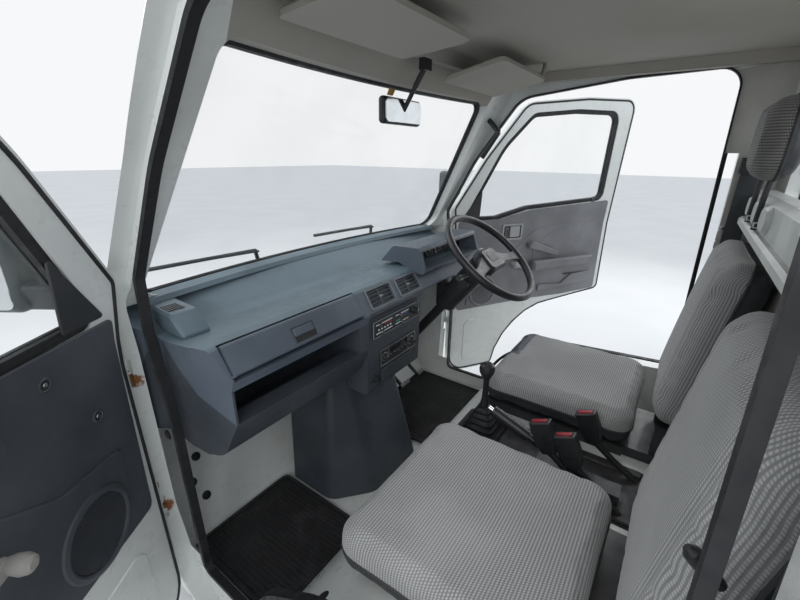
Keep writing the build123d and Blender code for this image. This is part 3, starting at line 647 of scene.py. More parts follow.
def add_tube(bm: bmesh.types.BMesh, path: Sequence[Vector], radius: float | Sequence[float],
             sides: int = 10, closed: bool = False, index: int = 0) -> None:
    """Add a round tube along a path.

    Args:
        bm: The mesh to add to.
        path: Points in metres.
        radius: One radius in metres, or one for each point.
        sides: The faces round it.
        closed: Whether the path joins its own start.
        index: The faces' material index.
    """
    count = len(path)
    radii = [radius] * count if isinstance(radius, (int, float)) else list(radius)
    rings = []
    normal = None
    for i, point in enumerate(path):
        before = path[i - 1] if i or closed else path[i]
        after = path[(i + 1) % count] if i < count - 1 or closed else path[i]
        tangent = (after - before).normalized()
        if normal is None:
            normal = tangent.orthogonal().normalized()
        normal = (normal - tangent * normal.dot(tangent)).normalized()
        side = tangent.cross(normal)
        ring = [point + (normal * a + side * b) * radii[i] for a, b in circle(0.0, 0.0, 1.0, sides)]
        rings.append([bm.verts.new(v) for v in ring])
    pairs = list(zip(rings, rings[1:])) + ([(rings[-1], rings[0])] if closed else [])
    for low, high in pairs:
        for k in range(sides):
            face = bm.faces.new((low[k], low[(k + 1) % sides], high[(k + 1) % sides], high[k]))
            face.material_index = index
    if not closed:
        for ring in (rings[0], rings[-1]):
            bm.faces.new(ring).material_index = index


def add_loft(bm: bmesh.types.BMesh, rings: Sequence[Sequence[Vector]], index: int = 0) -> None:
    """Add a skin through rings of equal length, each closed on itself, and cap its ends.

    Args:
        bm: The mesh to add to.
        rings: Rings of points in metres.
        index: The faces' material index.
    """
    made = [[bm.verts.new(v) for v in ring] for ring in rings]
    for low, high in zip(made, made[1:]):
        for k in range(len(low)):
            n = (k + 1) % len(low)
            bm.faces.new((low[k], low[n], high[n], high[k])).material_index = index
    for ring in (made[0], made[-1]):
        bm.faces.new(ring).material_index = index


def rounded_rectangle(width: float, height: float, radius: float, steps: int = 4) -> list[Span]:
    """The outline of a rounded rectangle about its centre.

    Args:
        width: Its width in millimetres.
        height: Its height.
        radius: The radius of its corners.
        steps: The pieces of each corner's arc.

    Returns:
        The outline's points in order.
    """
    points = []
    for cx, cy, start in ((1, 1, 0), (-1, 1, 90), (-1, -1, 180), (1, -1, 270)):
        u, v = cx * (width / 2 - radius), cy * (height / 2 - radius)
        for k in range(steps + 1):
            angle = radians(start + 90 * k / steps)
            points.append((u + radius * cos(angle), v + radius * sin(angle)))
    return points


@dataclass(frozen=True)
class Panel:
    """A flat place with its own directions, on which small pieces are set in millimetres."""

    origin: Vector
    across: Vector
    up: Vector
    out: Vector

    def matrix(self) -> Matrix:
        """The place and directions as one transform."""
        turn = Matrix((self.across, self.up, self.out)).transposed()
        return Matrix.Translation(self.origin) @ turn.to_4x4()

    def point(self, u: float, v: float, w: float = 0.0) -> Vector:
        """A point across, up and out from the origin."""
        return self.origin + (self.across * u + self.up * v + self.out * w) * MM

    def place(self, u: float, v: float, w: float = 0.0) -> Matrix:
        """The transform that sets a shape on a point of the panel."""
        return Matrix.Translation(self.point(u, v, w)) @ self.matrix().to_3x3().to_4x4()

    def box(self, bm: bmesh.types.BMesh, u: Span, v: Span, w: Span, bevel: float = 0.6, index: int = 0,
            spin: float = 0.0) -> None:
        """Add a box with rounded edges.

        Args:
            bm: The mesh to add to.
            u: Its low and high place across.
            v: Its low and high place upward.
            w: Its low and high place outward.
            bevel: The edge radius.
            index: The faces' material index.
            spin: A turn in the panel's plane about the box's centre, in degrees.
        """
        size = (u[1] - u[0], v[1] - v[0], w[1] - w[0])
        middle = Vector(((u[0] + u[1]) / 2, (v[0] + v[1]) / 2, (w[0] + w[1]) / 2))
        verts = bmesh.ops.create_cube(bm, size=1.0)["verts"]
        bmesh.ops.transform(bm, matrix=Matrix.Diagonal((*size, 1.0)), verts=verts)
        for face in without_repeats(face for vert in verts for face in vert.link_faces):
            face.material_index = index
        if bevel:
            edges = without_repeats(edge for vert in verts for edge in vert.link_edges)
            radius = min(bevel, min(size) * 0.45)
            done = bmesh.ops.bevel(bm, geom=edges, offset=radius, segments=2, affect="EDGES", profile=0.5)
            verts = without_repeats(vert for face in done["faces"] for vert in face.verts)
        place = Matrix.Translation(middle) @ Matrix.Rotation(radians(spin), 4, "Z")
        scale = Matrix.Diagonal((MM, MM, MM, 1.0))
        bmesh.ops.transform(bm, matrix=self.matrix() @ scale @ place, verts=verts)

    def lathe(self, bm: bmesh.types.BMesh, u: float, v: float, profile: Sequence[Span], sides: int = 24,
              index: int = 0) -> None:
        """Add a round piece that is closed where its profile starts and ends on the axis.

        Args:
            bm: The mesh to add to.
            u: The axis's place across.
            v: The axis's place upward.
            profile: Rows of radius and height outward.
            sides: The faces round it.
            index: The faces' material index.
        """
        rings = []
        for radius, w in profile:
            count = sides if radius > 0 else 1
            points = circle(u, v, radius, sides, count)
            rings.append([bm.verts.new(self.point(a, b, w)) for a, b in points])
        for low, high in zip(rings, rings[1:]):
            for k in range(sides):
                n = (k + 1) % sides
                corners = [low[k % len(low)], low[n % len(low)], high[n % len(high)], high[k % len(high)]]
                face = bm.faces.new(without_repeats(corners))
                face.material_index = index

    def frame(self, bm: bmesh.types.BMesh, u: Span, v: Span, w: Span, width: float, radius: float,
              index: int = 0) -> None:
        """Add a flat ring with rounded corners round a rectangle.

        Args:
            bm: The mesh to add to.
            u: The rectangle's low and high place across.
            v: Its low and high place upward.
            w: The ring's low and high place outward.
            width: The ring's width.
            radius: The radius of its outer corners.
            index: The faces' material index.
        """
        cu, cv = (u[0] + u[1]) / 2, (v[0] + v[1]) / 2
        wide, tall = u[1] - u[0], v[1] - v[0]
        outer = rounded_rectangle(wide, tall, radius)
        inner = rounded_rectangle(wide - 2 * width, tall - 2 * width, max(radius - width, 0.4))
        rows = ((outer, w[0]), (outer, w[1]), (inner, w[1]), (inner, w[0]))
        rings = [[self.point(cu + a, cv + b, height) for a, b in ring] for ring, height in rows]
        add_wrap(bm, rings, index)

    def plate(self, bm: bmesh.types.BMesh, u: Span, v: Span, w: Span, radius: float, edge: float = 1.0,
              index: int = 0) -> None:
        """Add a plate with rounded corners and a small bevel round its outer face.

        Args:
            bm: The mesh to add to.
            u: Its low and high place across.
            v: Its low and high place upward.
            w: Its low and high place outward.
            radius: The radius of its corners.
            edge: The bevel's width.
            index: The faces' material index.
        """
        cu, cv = (u[0] + u[1]) / 2, (v[0] + v[1]) / 2
        wide, tall = u[1] - u[0], v[1] - v[0]
        full = rounded_rectangle(wide, tall, radius)
        less = rounded_rectangle(wide - 2 * edge, tall - 2 * edge, max(radius - edge, 0.4))
        rows = ((full, w[0]), (full, w[1] - edge), (less, w[1]))
        rings = [[self.point(cu + a, cv + b, height) for a, b in ring] for ring, height in rows]
        add_loft(bm, rings, index)


def facing_up(x: float, y: float, z: float) -> Panel:
    """A level panel, seen from above."""
    return Panel(at(x, y, z), Vector((1, 0, 0)), Vector((0, 1, 0)), Vector((0, 0, 1)))


def facing_rear(y: float) -> Panel:
    """An upright panel that faces the cab's rear."""
    return Panel(at(0, y, 0), Vector((1, 0, 0)), Vector((0, 0, 1)), Vector((0, 1, 0)))


def facing_front(y: float, z: float, side: int = 1) -> Panel:
    """An upright panel that faces forward, counted from the centre to a side."""
    return Panel(at(0, y, z), Vector((side, 0, 0)), Vector((0, 0, 1)), Vector((0, -1, 0)))


def facing_side(x: float, y: float, z: float, side: int = 1) -> Panel:
    """An upright panel that faces the passenger's side, or the driver's where side is -1."""
    return Panel(at(x, y, z), Vector((0, 1, 0)), Vector((0, 0, 1)), Vector((side, 0, 0)))


def add_wrap(bm: bmesh.types.BMesh, rings: Sequence[Sequence[Vector]], index: int = 0) -> None:
    """Add a skin through rings that come back to the first, such as a frame's section.

    Args:
        bm: The mesh to add to.
        rings: Rings of points in metres.
        index: The faces' material index.
    """
    made = [[bm.verts.new(v) for v in ring] for ring in rings]
    for low, high in zip(made, made[1:] + made[:1]):
        for k in range(len(low)):
            n = (k + 1) % len(low)
            bm.faces.new((low[k], low[n], high[n], high[k])).material_index = index


def finish_piece(name: str, bm: bmesh.types.BMesh, body: Body, slot: str, *finishes: str,
                 move: Matrix | None = None, replaced: tuple[str, ...] = ()) -> bpy.types.Object:
    """Turn a bmesh into a piece that rides on its body.

    Args:
        name: The piece's name.
        bm: Its mesh under construction.
        body: The body that carries it.
        slot: Not used; it is only passed on.
        finishes: Names from the palette, in slot order.
        move: A transform to its final place.
        replaced: The construction's nodes that it stands for.

    Returns:
        The finished object.
    """
    if move is not None:
        bmesh.ops.transform(bm, matrix=move, verts=bm.verts)
    return seat_on(from_bmesh(name, bm, *finishes), body, slot, *replaced)


class Copies:
    """Base of the repeated shapes: copies of a seed on points that a node tree computes."""

    label = "copies"
    extra: tuple[tuple[str, str], ...] = ()

    def __init__(self) -> None:
        """Build the node tree with its named inputs."""
        tree = bpy.data.node_groups.new(self.label, "GeometryNodeTree")
        sockets = [("Shape", "INPUT", "NodeSocketGeometry"), ("Count", "INPUT", "NodeSocketInt")]
        sockets += [(name, "INPUT", kind) for name, kind in self.extra]
        sockets += [("Finish", "INPUT", "NodeSocketMaterial"), ("Result", "OUTPUT", "NodeSocketGeometry")]
        self.identifiers = {
            name: tree.interface.new_socket(name=name, in_out=side, socket_type=kind).identifier
            for name, side, kind in sockets
        }
        self.tree = tree
        self.nodes = tree.nodes
        self.given = tree.nodes.new("NodeGroupInput")
        copies = tree.nodes.new("GeometryNodeInstanceOnPoints")
        self.arrange(copies)
        realize = tree.nodes.new("GeometryNodeRealizeInstances")
        dress = tree.nodes.new("GeometryNodeSetMaterial")
        result = tree.nodes.new("NodeGroupOutput")
        self.link(self.given.outputs["Shape"], copies.inputs["Instance"])
        self.link(copies.outputs["Instances"], realize.inputs["Geometry"])
        self.link(realize.outputs["Geometry"], dress.inputs["Geometry"])
        self.link(self.given.outputs["Finish"], dress.inputs["Material"])
        self.link(dress.outputs["Geometry"], result.inputs["Result"])

    def link(self, source: Socket, target: Socket) -> None:
        """Join two sockets."""
        self.tree.links.new(source, target)

    def arrange(self, copies: bpy.types.Node) -> None:
        """Give the copies their points, turns and sizes."""
        raise NotImplementedError

    def line(self, copies: bpy.types.Node) -> bpy.types.Node:
        """Points on a straight line, all on one spot until they are given a step.

        Args:
            copies: The node that sets the copies.

        Returns:
            The line's node.
        """
        line = self.nodes.new("GeometryNodeMeshLine")
        line.mode = "OFFSET"
        self.link(self.given.outputs["Count"], line.inputs["Count"])
        line.inputs["Offset"].default_value = (0, 0, 0)
        self.link(line.outputs["Mesh"], copies.inputs["Points"])
        return line

    def value(self, operation: str, first: Value, second: Value = 0.0) -> Socket:
        """One Math node's result.

        Args:
            operation: The node's operation.
            first: Its first operand.
            second: Its second operand.

        Returns:
            The result's socket.
        """
        node = self.nodes.new("ShaderNodeMath")
        node.operation = operation
        for socket, given in zip(node.inputs, (first, second)):
            if isinstance(given, Socket):
                self.link(given, socket)
            else:
                socket.default_value = given
        return node.outputs[0]

    def make(self, name: str, shape: bmesh.types.BMesh, count: int, finish: str, place: Matrix | None = None,
             **values: float | Vector) -> bpy.types.Object:
        """Make the copies as one plain mesh.

        Args:
            name: The piece's name.
            shape: The seed shape, freed here.
            count: How many copies.
            finish: A name from the palette.
            place: A transform for the finished mesh.
            values: The tree's further named inputs.

        Returns:
            The linked object, riding on nothing yet.
        """
        seed = from_bmesh(name + "_seed", shape, finish, smooth=False)
        modifier = seed.modifiers.new("copies", "NODES")
        modifier.node_group = self.tree
        modifier[self.identifiers["Count"]] = count
        modifier[self.identifiers["Finish"]] = FINISHES.get(finish)
        for key, value in values.items():
            modifier[self.identifiers[key]] = value
        bpy.context.view_layer.update()
        mesh = settled_mesh(seed)
        bpy.data.objects.remove(seed)
        if place is not None:
            mesh.transform(place)
            if place.to_3x3().determinant() < 0:
                mesh.flip_normals()
        return mesh_object(name, mesh, finish)


class RowOf(Copies):
    """Equal copies of one small shape in a straight row."""

    label = "row_of_copies"
    extra = (("Step", "NodeSocketVector"),)

    def arrange(self, copies: bpy.types.Node) -> None:
        """Set the copies one step apart."""
        line = self.line(copies)
        self.link(self.given.outputs["Step"], line.inputs["Offset"])


class RingOf(Copies):
    """Copies of one small shape turned about the local Z axis, such as a dial's marks."""

    label = "ring_of_copies"
    extra = (("Start", "NodeSocketFloat"), ("Turn", "NodeSocketFloat"))

    def arrange(self, copies: bpy.types.Node) -> None:
        """Turn each copy a little further than the last.

        Args:
            copies: The node that sets the copies.
        """
        self.line(copies)
        index = self.nodes.new("GeometryNodeInputIndex").outputs[0]
        turn = self.value("MULTIPLY", index, self.given.outputs["Turn"])
        turns = self.nodes.new("ShaderNodeCombineXYZ")
        self.link(self.value("ADD", turn, self.given.outputs["Start"]), turns.inputs["Z"])
        self.link(turns.outputs[0], copies.inputs["Rotation"])


class DiscOfSlats(Copies):
    """Parallel slats, each as long as the round opening is wide there."""

    label = "disc_of_slats"
    extra = (("Radius", "NodeSocketFloat"), ("Pitch", "NodeSocketFloat"))

    def arrange(self, copies: bpy.types.Node) -> None:
        """Set the slats across the disc and stretch each to its chord.

        Args:
            copies: The node that sets the copies.
        """
        self.line(copies)
        index = self.nodes.new("GeometryNodeInputIndex").outputs[0]
        last = self.value("SUBTRACT", self.given.outputs["Count"], 1.0)
        level = self.value("SUBTRACT", index, self.value("MULTIPLY", last, 0.5))
        offset = self.value("MULTIPLY", level, self.given.outputs["Pitch"])
        radius = self.given.outputs["Radius"]
        square = self.value("MULTIPLY", radius, radius)
        room = self.value("SUBTRACT", square, self.value("MULTIPLY", offset, offset))
        chord = self.value("MULTIPLY", self.value("SQRT", self.value("MAXIMUM", room, 1e-8)), 2.0)
        place = self.nodes.new("ShaderNodeCombineXYZ")
        self.link(offset, place.inputs["Y"])
        move = self.nodes.new("GeometryNodeSetPosition")
        points = copies.inputs["Points"].links[0].from_socket
        self.link(points, move.inputs["Geometry"])
        self.link(place.outputs[0], move.inputs["Position"])
        self.link(move.outputs["Geometry"], copies.inputs["Points"])
        size = self.nodes.new("ShaderNodeCombineXYZ")
        self.link(chord, size.inputs["X"])
        size.inputs["Y"].default_value = 1.0
        size.inputs["Z"].default_value = 1.0
        self.link(size.outputs[0], copies.inputs["Scale"])


ROWS = RowOf()
RINGS = RingOf()
SLATS = DiscOfSlats()


def small_box(size: Sequence[float], centre: Sequence[float] = (0.0, 0.0, 0.0)) -> bmesh.types.BMesh:
    """A plain little box as a seed for copies.

    Args:
        size: Its three sizes in millimetres.
        centre: Its centre in millimetres.

    Returns:
        The box as a mesh under construction, in metres.
    """
    bm = bmesh.new()
    made = bmesh.ops.create_cube(bm, size=1.0)
    place = Matrix.Translation(Vector(centre) * MM) @ Matrix.Diagonal((*(Vector(size) * MM), 1.0))
    bmesh.ops.transform(bm, matrix=place, verts=made["verts"])
    return bm


@dataclass
class Studio:
    """The camera at the photograph's place, soft lamps and a pale floor."""

    camera_at: Point = (926.5, 1061.4, 1049.9)
    yaw: float = 35.11
    pitch: float = 20.37
    roll: float = 0.65
    lens: float = 17.71
    floor_z: float = -0.003
    lamps: tuple[tuple[str, Point, Point, float, float], ...] = (
        ("lamp_front", (0.6, -3.4, 3.2), (0.0, 0.2, 0.6), 2.4, 42.0),
        ("lamp_side", (3.4, 1.2, 2.4), (0.0, 0.0, 0.7), 2.2, 52.0),
        ("lamp_far", (-3.4, 0.4, 2.6), (0.0, 0.1, 0.6), 2.2, 40.0),
    )

    def camera(self) -> None:
        """Make the camera."""
        yaw, pitch, roll = radians(self.yaw), radians(self.pitch), radians(self.roll)
        level = Vector((-cos(yaw), -sin(yaw), 0.0))
        right = level.cross(Vector((0, 0, 1)))
        ahead = level * cos(pitch) - Vector((0, 0, 1)) * sin(pitch)
        up = right.cross(ahead)
        rolled_right = right * cos(roll) + up * sin(roll)
        rolled_up = up * cos(roll) - right * sin(roll)
        data = bpy.data.cameras.new("camera")
        data.lens = self.lens
        data.sensor_width = 36.0
        data.clip_start = 0.02
        camera = bpy.data.objects.new("camera", data)
        basis = Matrix((rolled_right, rolled_up, -ahead)).transposed()
        camera.matrix_world = Matrix.Translation(at(*self.camera_at)) @ basis.to_4x4()
        bpy.context.scene.collection.objects.link(camera)
        bpy.context.scene.camera = camera

    def lamp(self, name: str, place: Point, target: Point, size: float, power: float) -> None:
        """Make one soft square lamp.

        Args:
            name: Its name.
            place: Where it stands, in metres.
            target: What it points at, in metres.
            size: Its side in metres.
            power: Its power in watts.
        """
        data = bpy.data.lights.new(name, "AREA")
        data.energy = power
        data.size = size
        lamp = bpy.data.objects.new(name, data)
        way = Vector(target) - Vector(place)
        lamp.matrix_world = Matrix.Translation(place) @ way.to_track_quat("-Z", "Y").to_matrix().to_4x4()
        bpy.context.scene.collection.objects.link(lamp)

    def world(self) -> None:
        """Light from all round, seen as plain white."""
        world = bpy.data.worlds.new("studio")
        bpy.context.scene.world = world
        world.use_nodes = True
        tree = world.node_tree
        tree.nodes.clear()
        output = tree.nodes.new("ShaderNodeOutputWorld")
        seen = tree.nodes.new("ShaderNodeBackground")
        seen.inputs["Color"].default_value = (0.93, 0.94, 0.95, 1.0)
        lit = tree.nodes.new("ShaderNodeBackground")
        lit.inputs["Color"].default_value = (0.9, 0.95, 1.0, 1.0)
        lit.inputs["Strength"].default_value = 1.0
        mix = tree.nodes.new("ShaderNodeMixShader")
        path = tree.nodes.new("ShaderNodeLightPath")
        tree.links.new(path.outputs["Is Camera Ray"], mix.inputs[0])
        tree.links.new(lit.outputs[0], mix.inputs[1])
        tree.links.new(seen.outputs[0], mix.inputs[2])
        tree.links.new(mix.outputs[0], output.inputs[0])

    def floor(self) -> None:
        """Make the pale floor."""
        bm = bmesh.new()
        bmesh.ops.create_grid(bm, x_segments=1, y_segments=1, size=30.0)
        bmesh.ops.translate(bm, vec=(0, 0, self.floor_z), verts=bm.verts)
        mesh = bpy.data.meshes.new("floor")
        bm.to_mesh(mesh)
        bm.free()
        g = Graph("studio_floor")
        cloud = g.span(g.noise(1.5), 0.3, 0.7)
        g.set(Base_Color=g.blend(cloud, (0.66, 0.665, 0.67), (0.7, 0.7, 0.705)), Roughness=0.85)
        mesh.materials.append(g.material)
        piece = bpy.data.objects.new("studio_floor", mesh)
        bpy.context.scene.collection.objects.link(piece)

    def build(self) -> None:
        """Make the camera, the lamps, the world and the floor."""
        bpy.context.scene.view_settings.view_transform = "Standard"
        self.camera()
        self.world()
        self.floor()
        for row in self.lamps:
            self.lamp(*row)


FINISH_NODES: dict[str, tuple[str, ...]] = {
    "body_white": (
        "front_panel", "roof_panel", "back_panel", "side_frame_passenger", "side_frame_driver", "floor_pan",
        "seat_platform", "wheel_house_passenger", "wheel_house_driver", "passenger_door_shell",
        "driver_door_shell", "headrest_ledge",
    ),
    "beige": ("windscreen_header", "headliner", "sun_visors"),
    "under_black": ("cab_rails", "seat_frames"),
    "glass": ("windscreen_glass", "rear_glass", "passenger_door_glass", "driver_door_glass"),
    "seal": (
        "windscreen_gasket", "rear_gasket", "passenger_door_glass_run", "driver_door_glass_run",
        "door_seal_passenger", "door_seal_driver", "gear_lever",
    ),
    "mat": ("floor_mats",),
    "black": (
        "wipers", "dash_vents", "radio_heater_panel", "passenger_door_fittings", "driver_door_fittings",
        "passenger_door_mirror", "driver_door_mirror", "steering_wheel", "steering_column", "belt_buckles",
        "interior_mirror", "front_bumper", "grab_handle", "handbrake", "pedals",
    ),
    "slate": ("dash_moulding", "glovebox_lid", "cluster_hood"),
    "slate_dark": ("centre_stack", "heater_cover"),
    "charcoal": ("passenger_door_trim",),
    "grey_trim": ("driver_door_trim",),
    "webbing": ("seat_belts",),
    "lamp_glass": ("headlamps",),
}
NODE_FINISHES = {node: finish for finish, nodes in FINISH_NODES.items() for node in nodes}


Rule = Callable[[Vector, Vector], bool]

# The further finishes of a node, each with a rule for its faces: p is the face's centre in millimetres
# of the working datum and n its normal.
NODE_PARTS: dict[str, tuple[tuple[str, Rule], ...]] = {
    "seat_belts": (("black", lambda p, n: p.z < 565 or p.z > 1007),),
    "side_frame_passenger": (("pillar_trim", lambda p, n: p.y > 1124 and n.x < -0.5 and p.z > 330),),
    "side_frame_driver": (("pillar_trim", lambda p, n: p.y > 1124 and n.x > 0.5 and p.z > 330),),
    "back_panel": (("pillar_trim", lambda p, n: n.y < -0.5 and p.y < 1290),),
    "handbrake": (("charcoal", lambda p, n: p.z < 298),),
    "windscreen_header": (("body_white", lambda p, n: n.y < -0.3 or n.z > 0.6),),
}


class CarriedNodes:
    """The construction's own pieces, which keep their shape and get their finish."""

    def build(self) -> None:
        """Dress every carried node, face by face where it has more than one finish."""
        for name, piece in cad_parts.items():
            finish = NODE_FINISHES.get(name)
            if not finish:
                continue
            rules = NODE_PARTS.get(name, ())
            piece.data.materials.clear()
            for entry in (finish, *(rule[0] for rule in rules)):
                piece.data.materials.append(FINISHES.get(entry))
            for polygon in piece.data.polygons:
                centre = polygon.center / MM + Vector((0, DATUM_Y, DATUM_Z))
                polygon.material_index = 0
                for index, (_, test) in enumerate(rules, start=1):
                    if test(centre, polygon.normal):
                        polygon.material_index = index
                        break


def rounded(table: Sequence[Point], steps: int = 4) -> list[Span]:
    """A closed outline from corners with their radii.

    Args:
        table: Rows of u, v and corner radius, in millimetres.
        steps: The pieces of each corner's arc.

    Returns:
        The outline's points in order.
    """
    points = []
    count = len(table)
    for i, (u, v, r) in enumerate(table):
        here = Vector((u, v))
        before = Vector(table[i - 1][:2])
        after = Vector(table[(i + 1) % count][:2])
        a, b = (before - here).normalized(), (after - here).normalized()
        half = a.angle(b) / 2
        room = min((before - here).length, (after - here).length) * 0.48
        reach = min(r / max(sin(half) / cos(half), 1e-3), room)
        radius = reach * sin(half) / cos(half)
        centre = here + (a + b).normalized() * (radius / sin(half))
        start, end = here + a * reach - centre, here + b * reach - centre
        turn = start.angle_signed(end)
        for k in range(steps + 1):
            spot = centre + Matrix.Rotation(-turn * k / steps, 2) @ start
            points.append((spot.x, spot.y))
    return points


def slab(bm: bmesh.types.BMesh, panel: Panel, outline: Sequence[Span], w: Span, edge: float = 1.0,
         index: int = 0) -> None:
    """Add a plate of any outline whose outer edge is bevelled.

    Args:
        bm: The mesh to add to.
        panel: The flat place that it lies on.
        outline: Its points across and up, in millimetres.
        w: Its low and high place outward.
        edge: The bevel's width.
        index: The faces' material index.
    """
    low = [bm.verts.new(panel.point(u, v, w[0])) for u, v in outline]
    high = [bm.verts.new(panel.point(u, v, w[1] - edge)) for u, v in outline]
    count = len(low)
    faces = [bm.faces.new(low), bm.faces.new(high)]
    for k in range(count):
        n = (k + 1) % count
        faces.append(bm.faces.new((low[k], low[n], high[n], high[k])))
    for face in faces:
        face.material_index = index
    bmesh.ops.recalc_face_normals(bm, faces=faces)
    inset = bmesh.ops.inset_region(bm, faces=[faces[1]], thickness=edge * MM, depth=edge * MM,
                                   use_even_offset=True)
    for face in inset["faces"] + [faces[1]]:
        face.material_index = index


@dataclass
class Door:
    """One door's dressing: trim, pocket, speaker, window crank, pull, lever, edge seal and outer handle."""

    side: str
    angle: float
    cover: str
    handle: str
    hinge: Span = (684.0, 190.0)
    face_x: float = 642.0
    bend_z: float = 714.0
    slope: float = 0.0776
    speaker: Span = (380.0, 416.0)
    speaker_r: float = 65.0
    slat_pitch: float = 4.4
    crank: Span = (596.0, 536.0)
    knob: Span = (530.0, 543.0)
    caps: tuple[Span, ...] = ((383.0, 719.0), (311.0, 610.0))
    trim: tuple[Point, ...] = (
        (244.0, 328.0, 16.0), (640.0, 340.0, 60.0), (900.0, 338.0, 60.0), (1128.0, 350.0, 16.0),
        (1118.0, 834.0, 16.0), (620.0, 803.0, 60.0), (440.0, 766.0, 60.0), (226.0, 762.0, 10.0),
        (232.0, 640.0, 60.0),
    )
    pad: tuple[Point, ...] = (
        (290.0, 346.0, 10.0), (290.0, 522.0, 10.0), (420.0, 538.0, 40.0), (571.0, 628.0, 60.0),
        (657.0, 702.0, 60.0), (805.0, 724.0, 80.0), (1086.0, 730.0, 16.0), (1096.0, 388.0, 16.0),
        (720.0, 364.0, 80.0),
    )
    inner_pad: tuple[Point, ...] = (
        (672.0, 540.0, 8.0), (655.0, 634.0, 30.0), (816.0, 704.0, 60.0), (1052.0, 708.0, 12.0),
        (1066.0, 474.0, 12.0),
    )
    pocket: tuple[Point, ...] = (
        (717.0, 376.0, 14.0), (717.0, 416.0, 12.0), (870.0, 404.0, 30.0), (935.0, 452.0, 30.0),
        (1082.0, 460.0, 12.0), (1082.0, 400.0, 14.0),
    )
    armrest: tuple[Point, ...] = (
        (650.0, 500.0, 12.0), (1040.0, 512.0, 12.0), (1040.0, 556.0, 12.0), (650.0, 552.0, 12.0),
    )
    pull: tuple[Point, ...] = (
        (606.0, 622.0, 12.0), (800.0, 566.0, 10.0), (808.0, 590.0, 10.0), (640.0, 654.0, 14.0),
    )
    pull_feet: tuple[Span, ...] = ((634.0, 634.0), (784.0, 584.0))
    crank_arm: tuple[Point, ...] = (
        (524.0, 532.0, 8.0), (600.0, 520.0, 12.0), (600.0, 550.0, 12.0), (524.0, 554.0, 8.0),
    )
    lock_knob: Span = (1011.0, 838.0)
    lock_barrel: Span = (1062.0, 580.0)
    patch: tuple[Point, ...] = ((240.0, 772.0, 5.0), (332.0, 776.0, 4.0), (332.0, 904.0, 4.0))
    arch: Point = (840.0, -60.0, 363.0)
    seal_inset: float = 9.0
    lower_panel: tuple[Point, ...] = (
        (292.0, 34.0, 34.0), (452.0, 34.0, 60.0), (488.0, 200.0, 40.0), (470.0, 268.0, 30.0),
        (292.0, 268.0, 34.0),
    )
    mirror_y: float = 287.0
    mirror: tuple[Span, Span] = ((746.0, 864.0), (800.0, 965.0))
    skin_x: float = 690.0

    def __post_init__(self) -> None:
        """Work out the body, its swing and the trim's plane."""
        self.body = Body(f"{self.side}_door")
        hinge = Matrix.Translation(at(*self.hinge, DATUM_Z))
        swing = hinge @ Matrix.Rotation(-radians(self.angle), 4, "Z") @ hinge.inverted()
        self.move = swing if self.side == "passenger" else Matrix.Diagonal((-1, 1, 1, 1)) @ swing
        self.panel = facing_side(self.face_x, 0, 0, -1)

    def lean(self, bm: bmesh.types.BMesh) -> None:
        """Lean everything above the waist inward, as the door does.

        Args:
            bm: The mesh to lean, on the shut door.
        """
        bend = at(0, 0, self.bend_z)
        split(bm, bend, (0, 0, 1))
        for vert in bm.verts:
            vert.co.x -= max(vert.co.z - bend.z, 0.0) * self.slope

    def finish(self, name: str, bm: bmesh.types.BMesh, slot: str, *finishes: str, node: str = "",
               leaning: bool = True) -> None:
        """Lean, swing and link one piece of the door.

        Args:
            name: The piece's name after the door's.
            bm: Its mesh under construction, on the shut passenger's door.
            slot: Not used; it is only passed on.
            finishes: Names from the palette, in slot order.
            node: The construction's node that it stands for, after the door's name.
            leaning: Whether it leans with the door above the waist.
        """
        if leaning:
            self.lean(bm)
        replaced = (f"{self.side}_door_{node}",) if node else ()
        finish_piece(f"{self.side}_door_{name}", bm, self.body, slot, *finishes, move=self.move,
                     replaced=replaced)

    def build_trim(self) -> None:
        """Make the trim board with its raised pad, armrest and pocket."""
        bm = bmesh.new()
        slab(bm, self.panel, rounded(self.trim), (-4.6, 0.0), 1.4)
        slab(bm, self.panel, rounded(self.pad), (-1.0, 4.5), 3.0)
        slab(bm, self.panel, rounded(self.inner_pad), (3.0, 7.0), 2.4, 1)
        slab(bm, self.panel, rounded(self.armrest, 5), (3.0, 46.0), 9.0)
        slab(bm, self.panel, rounded(self.pocket), (3.0, 15.0), 3.0)
        self.panel.box(bm, (885, 1075), (452, 457), (6, 12.5), 0.5, 2)
        self.finish("trim_board", bm, "dash_plastic", self.cover, self.cover, "black", node="trim")

    def build_speaker(self) -> None:
        """Make the speaker's ring, its dark cloth and the slats over it."""
        u, v = self.speaker
        r = self.speaker_r
        bm = bmesh.new()
        section = ((r + 15, 3.9), (r + 12, 8.0), (r + 5, 9.6), (r + 1, 8.4), (r, 4.0))
        sides = 56
        rings = [[self.panel.point(a, b, w) for a, b in circle(u, v, outer, sides)] for outer, w in section]
        add_wrap(bm, rings)
        self.panel.lathe(bm, u, v, ((0, 1), (r + 1, 1), (r + 1, 4.6), (0, 4.6)), sides, 1)
        self.finish("speaker_ring", bm, "dash_plastic", self.cover, "black", node="fittings")
        count = int(2 * r / self.slat_pitch)
        upright = Matrix.Rotation(pi / 2, 4, "Z") @ Matrix.Rotation(pi / 2, 4, "X")
        place = self.move @ Matrix.Translation(self.panel.point(u, v, 5.4)) @ upright
        slats = SLATS.make(f"{self.side}_door_speaker_slats", small_box((1000, 2.2, 2.0)), count, self.cover,
                           place, Radius=(r - 1) * MM, Pitch=self.slat_pitch * MM)
        seat_on(slats, self.body, "dash_plastic")

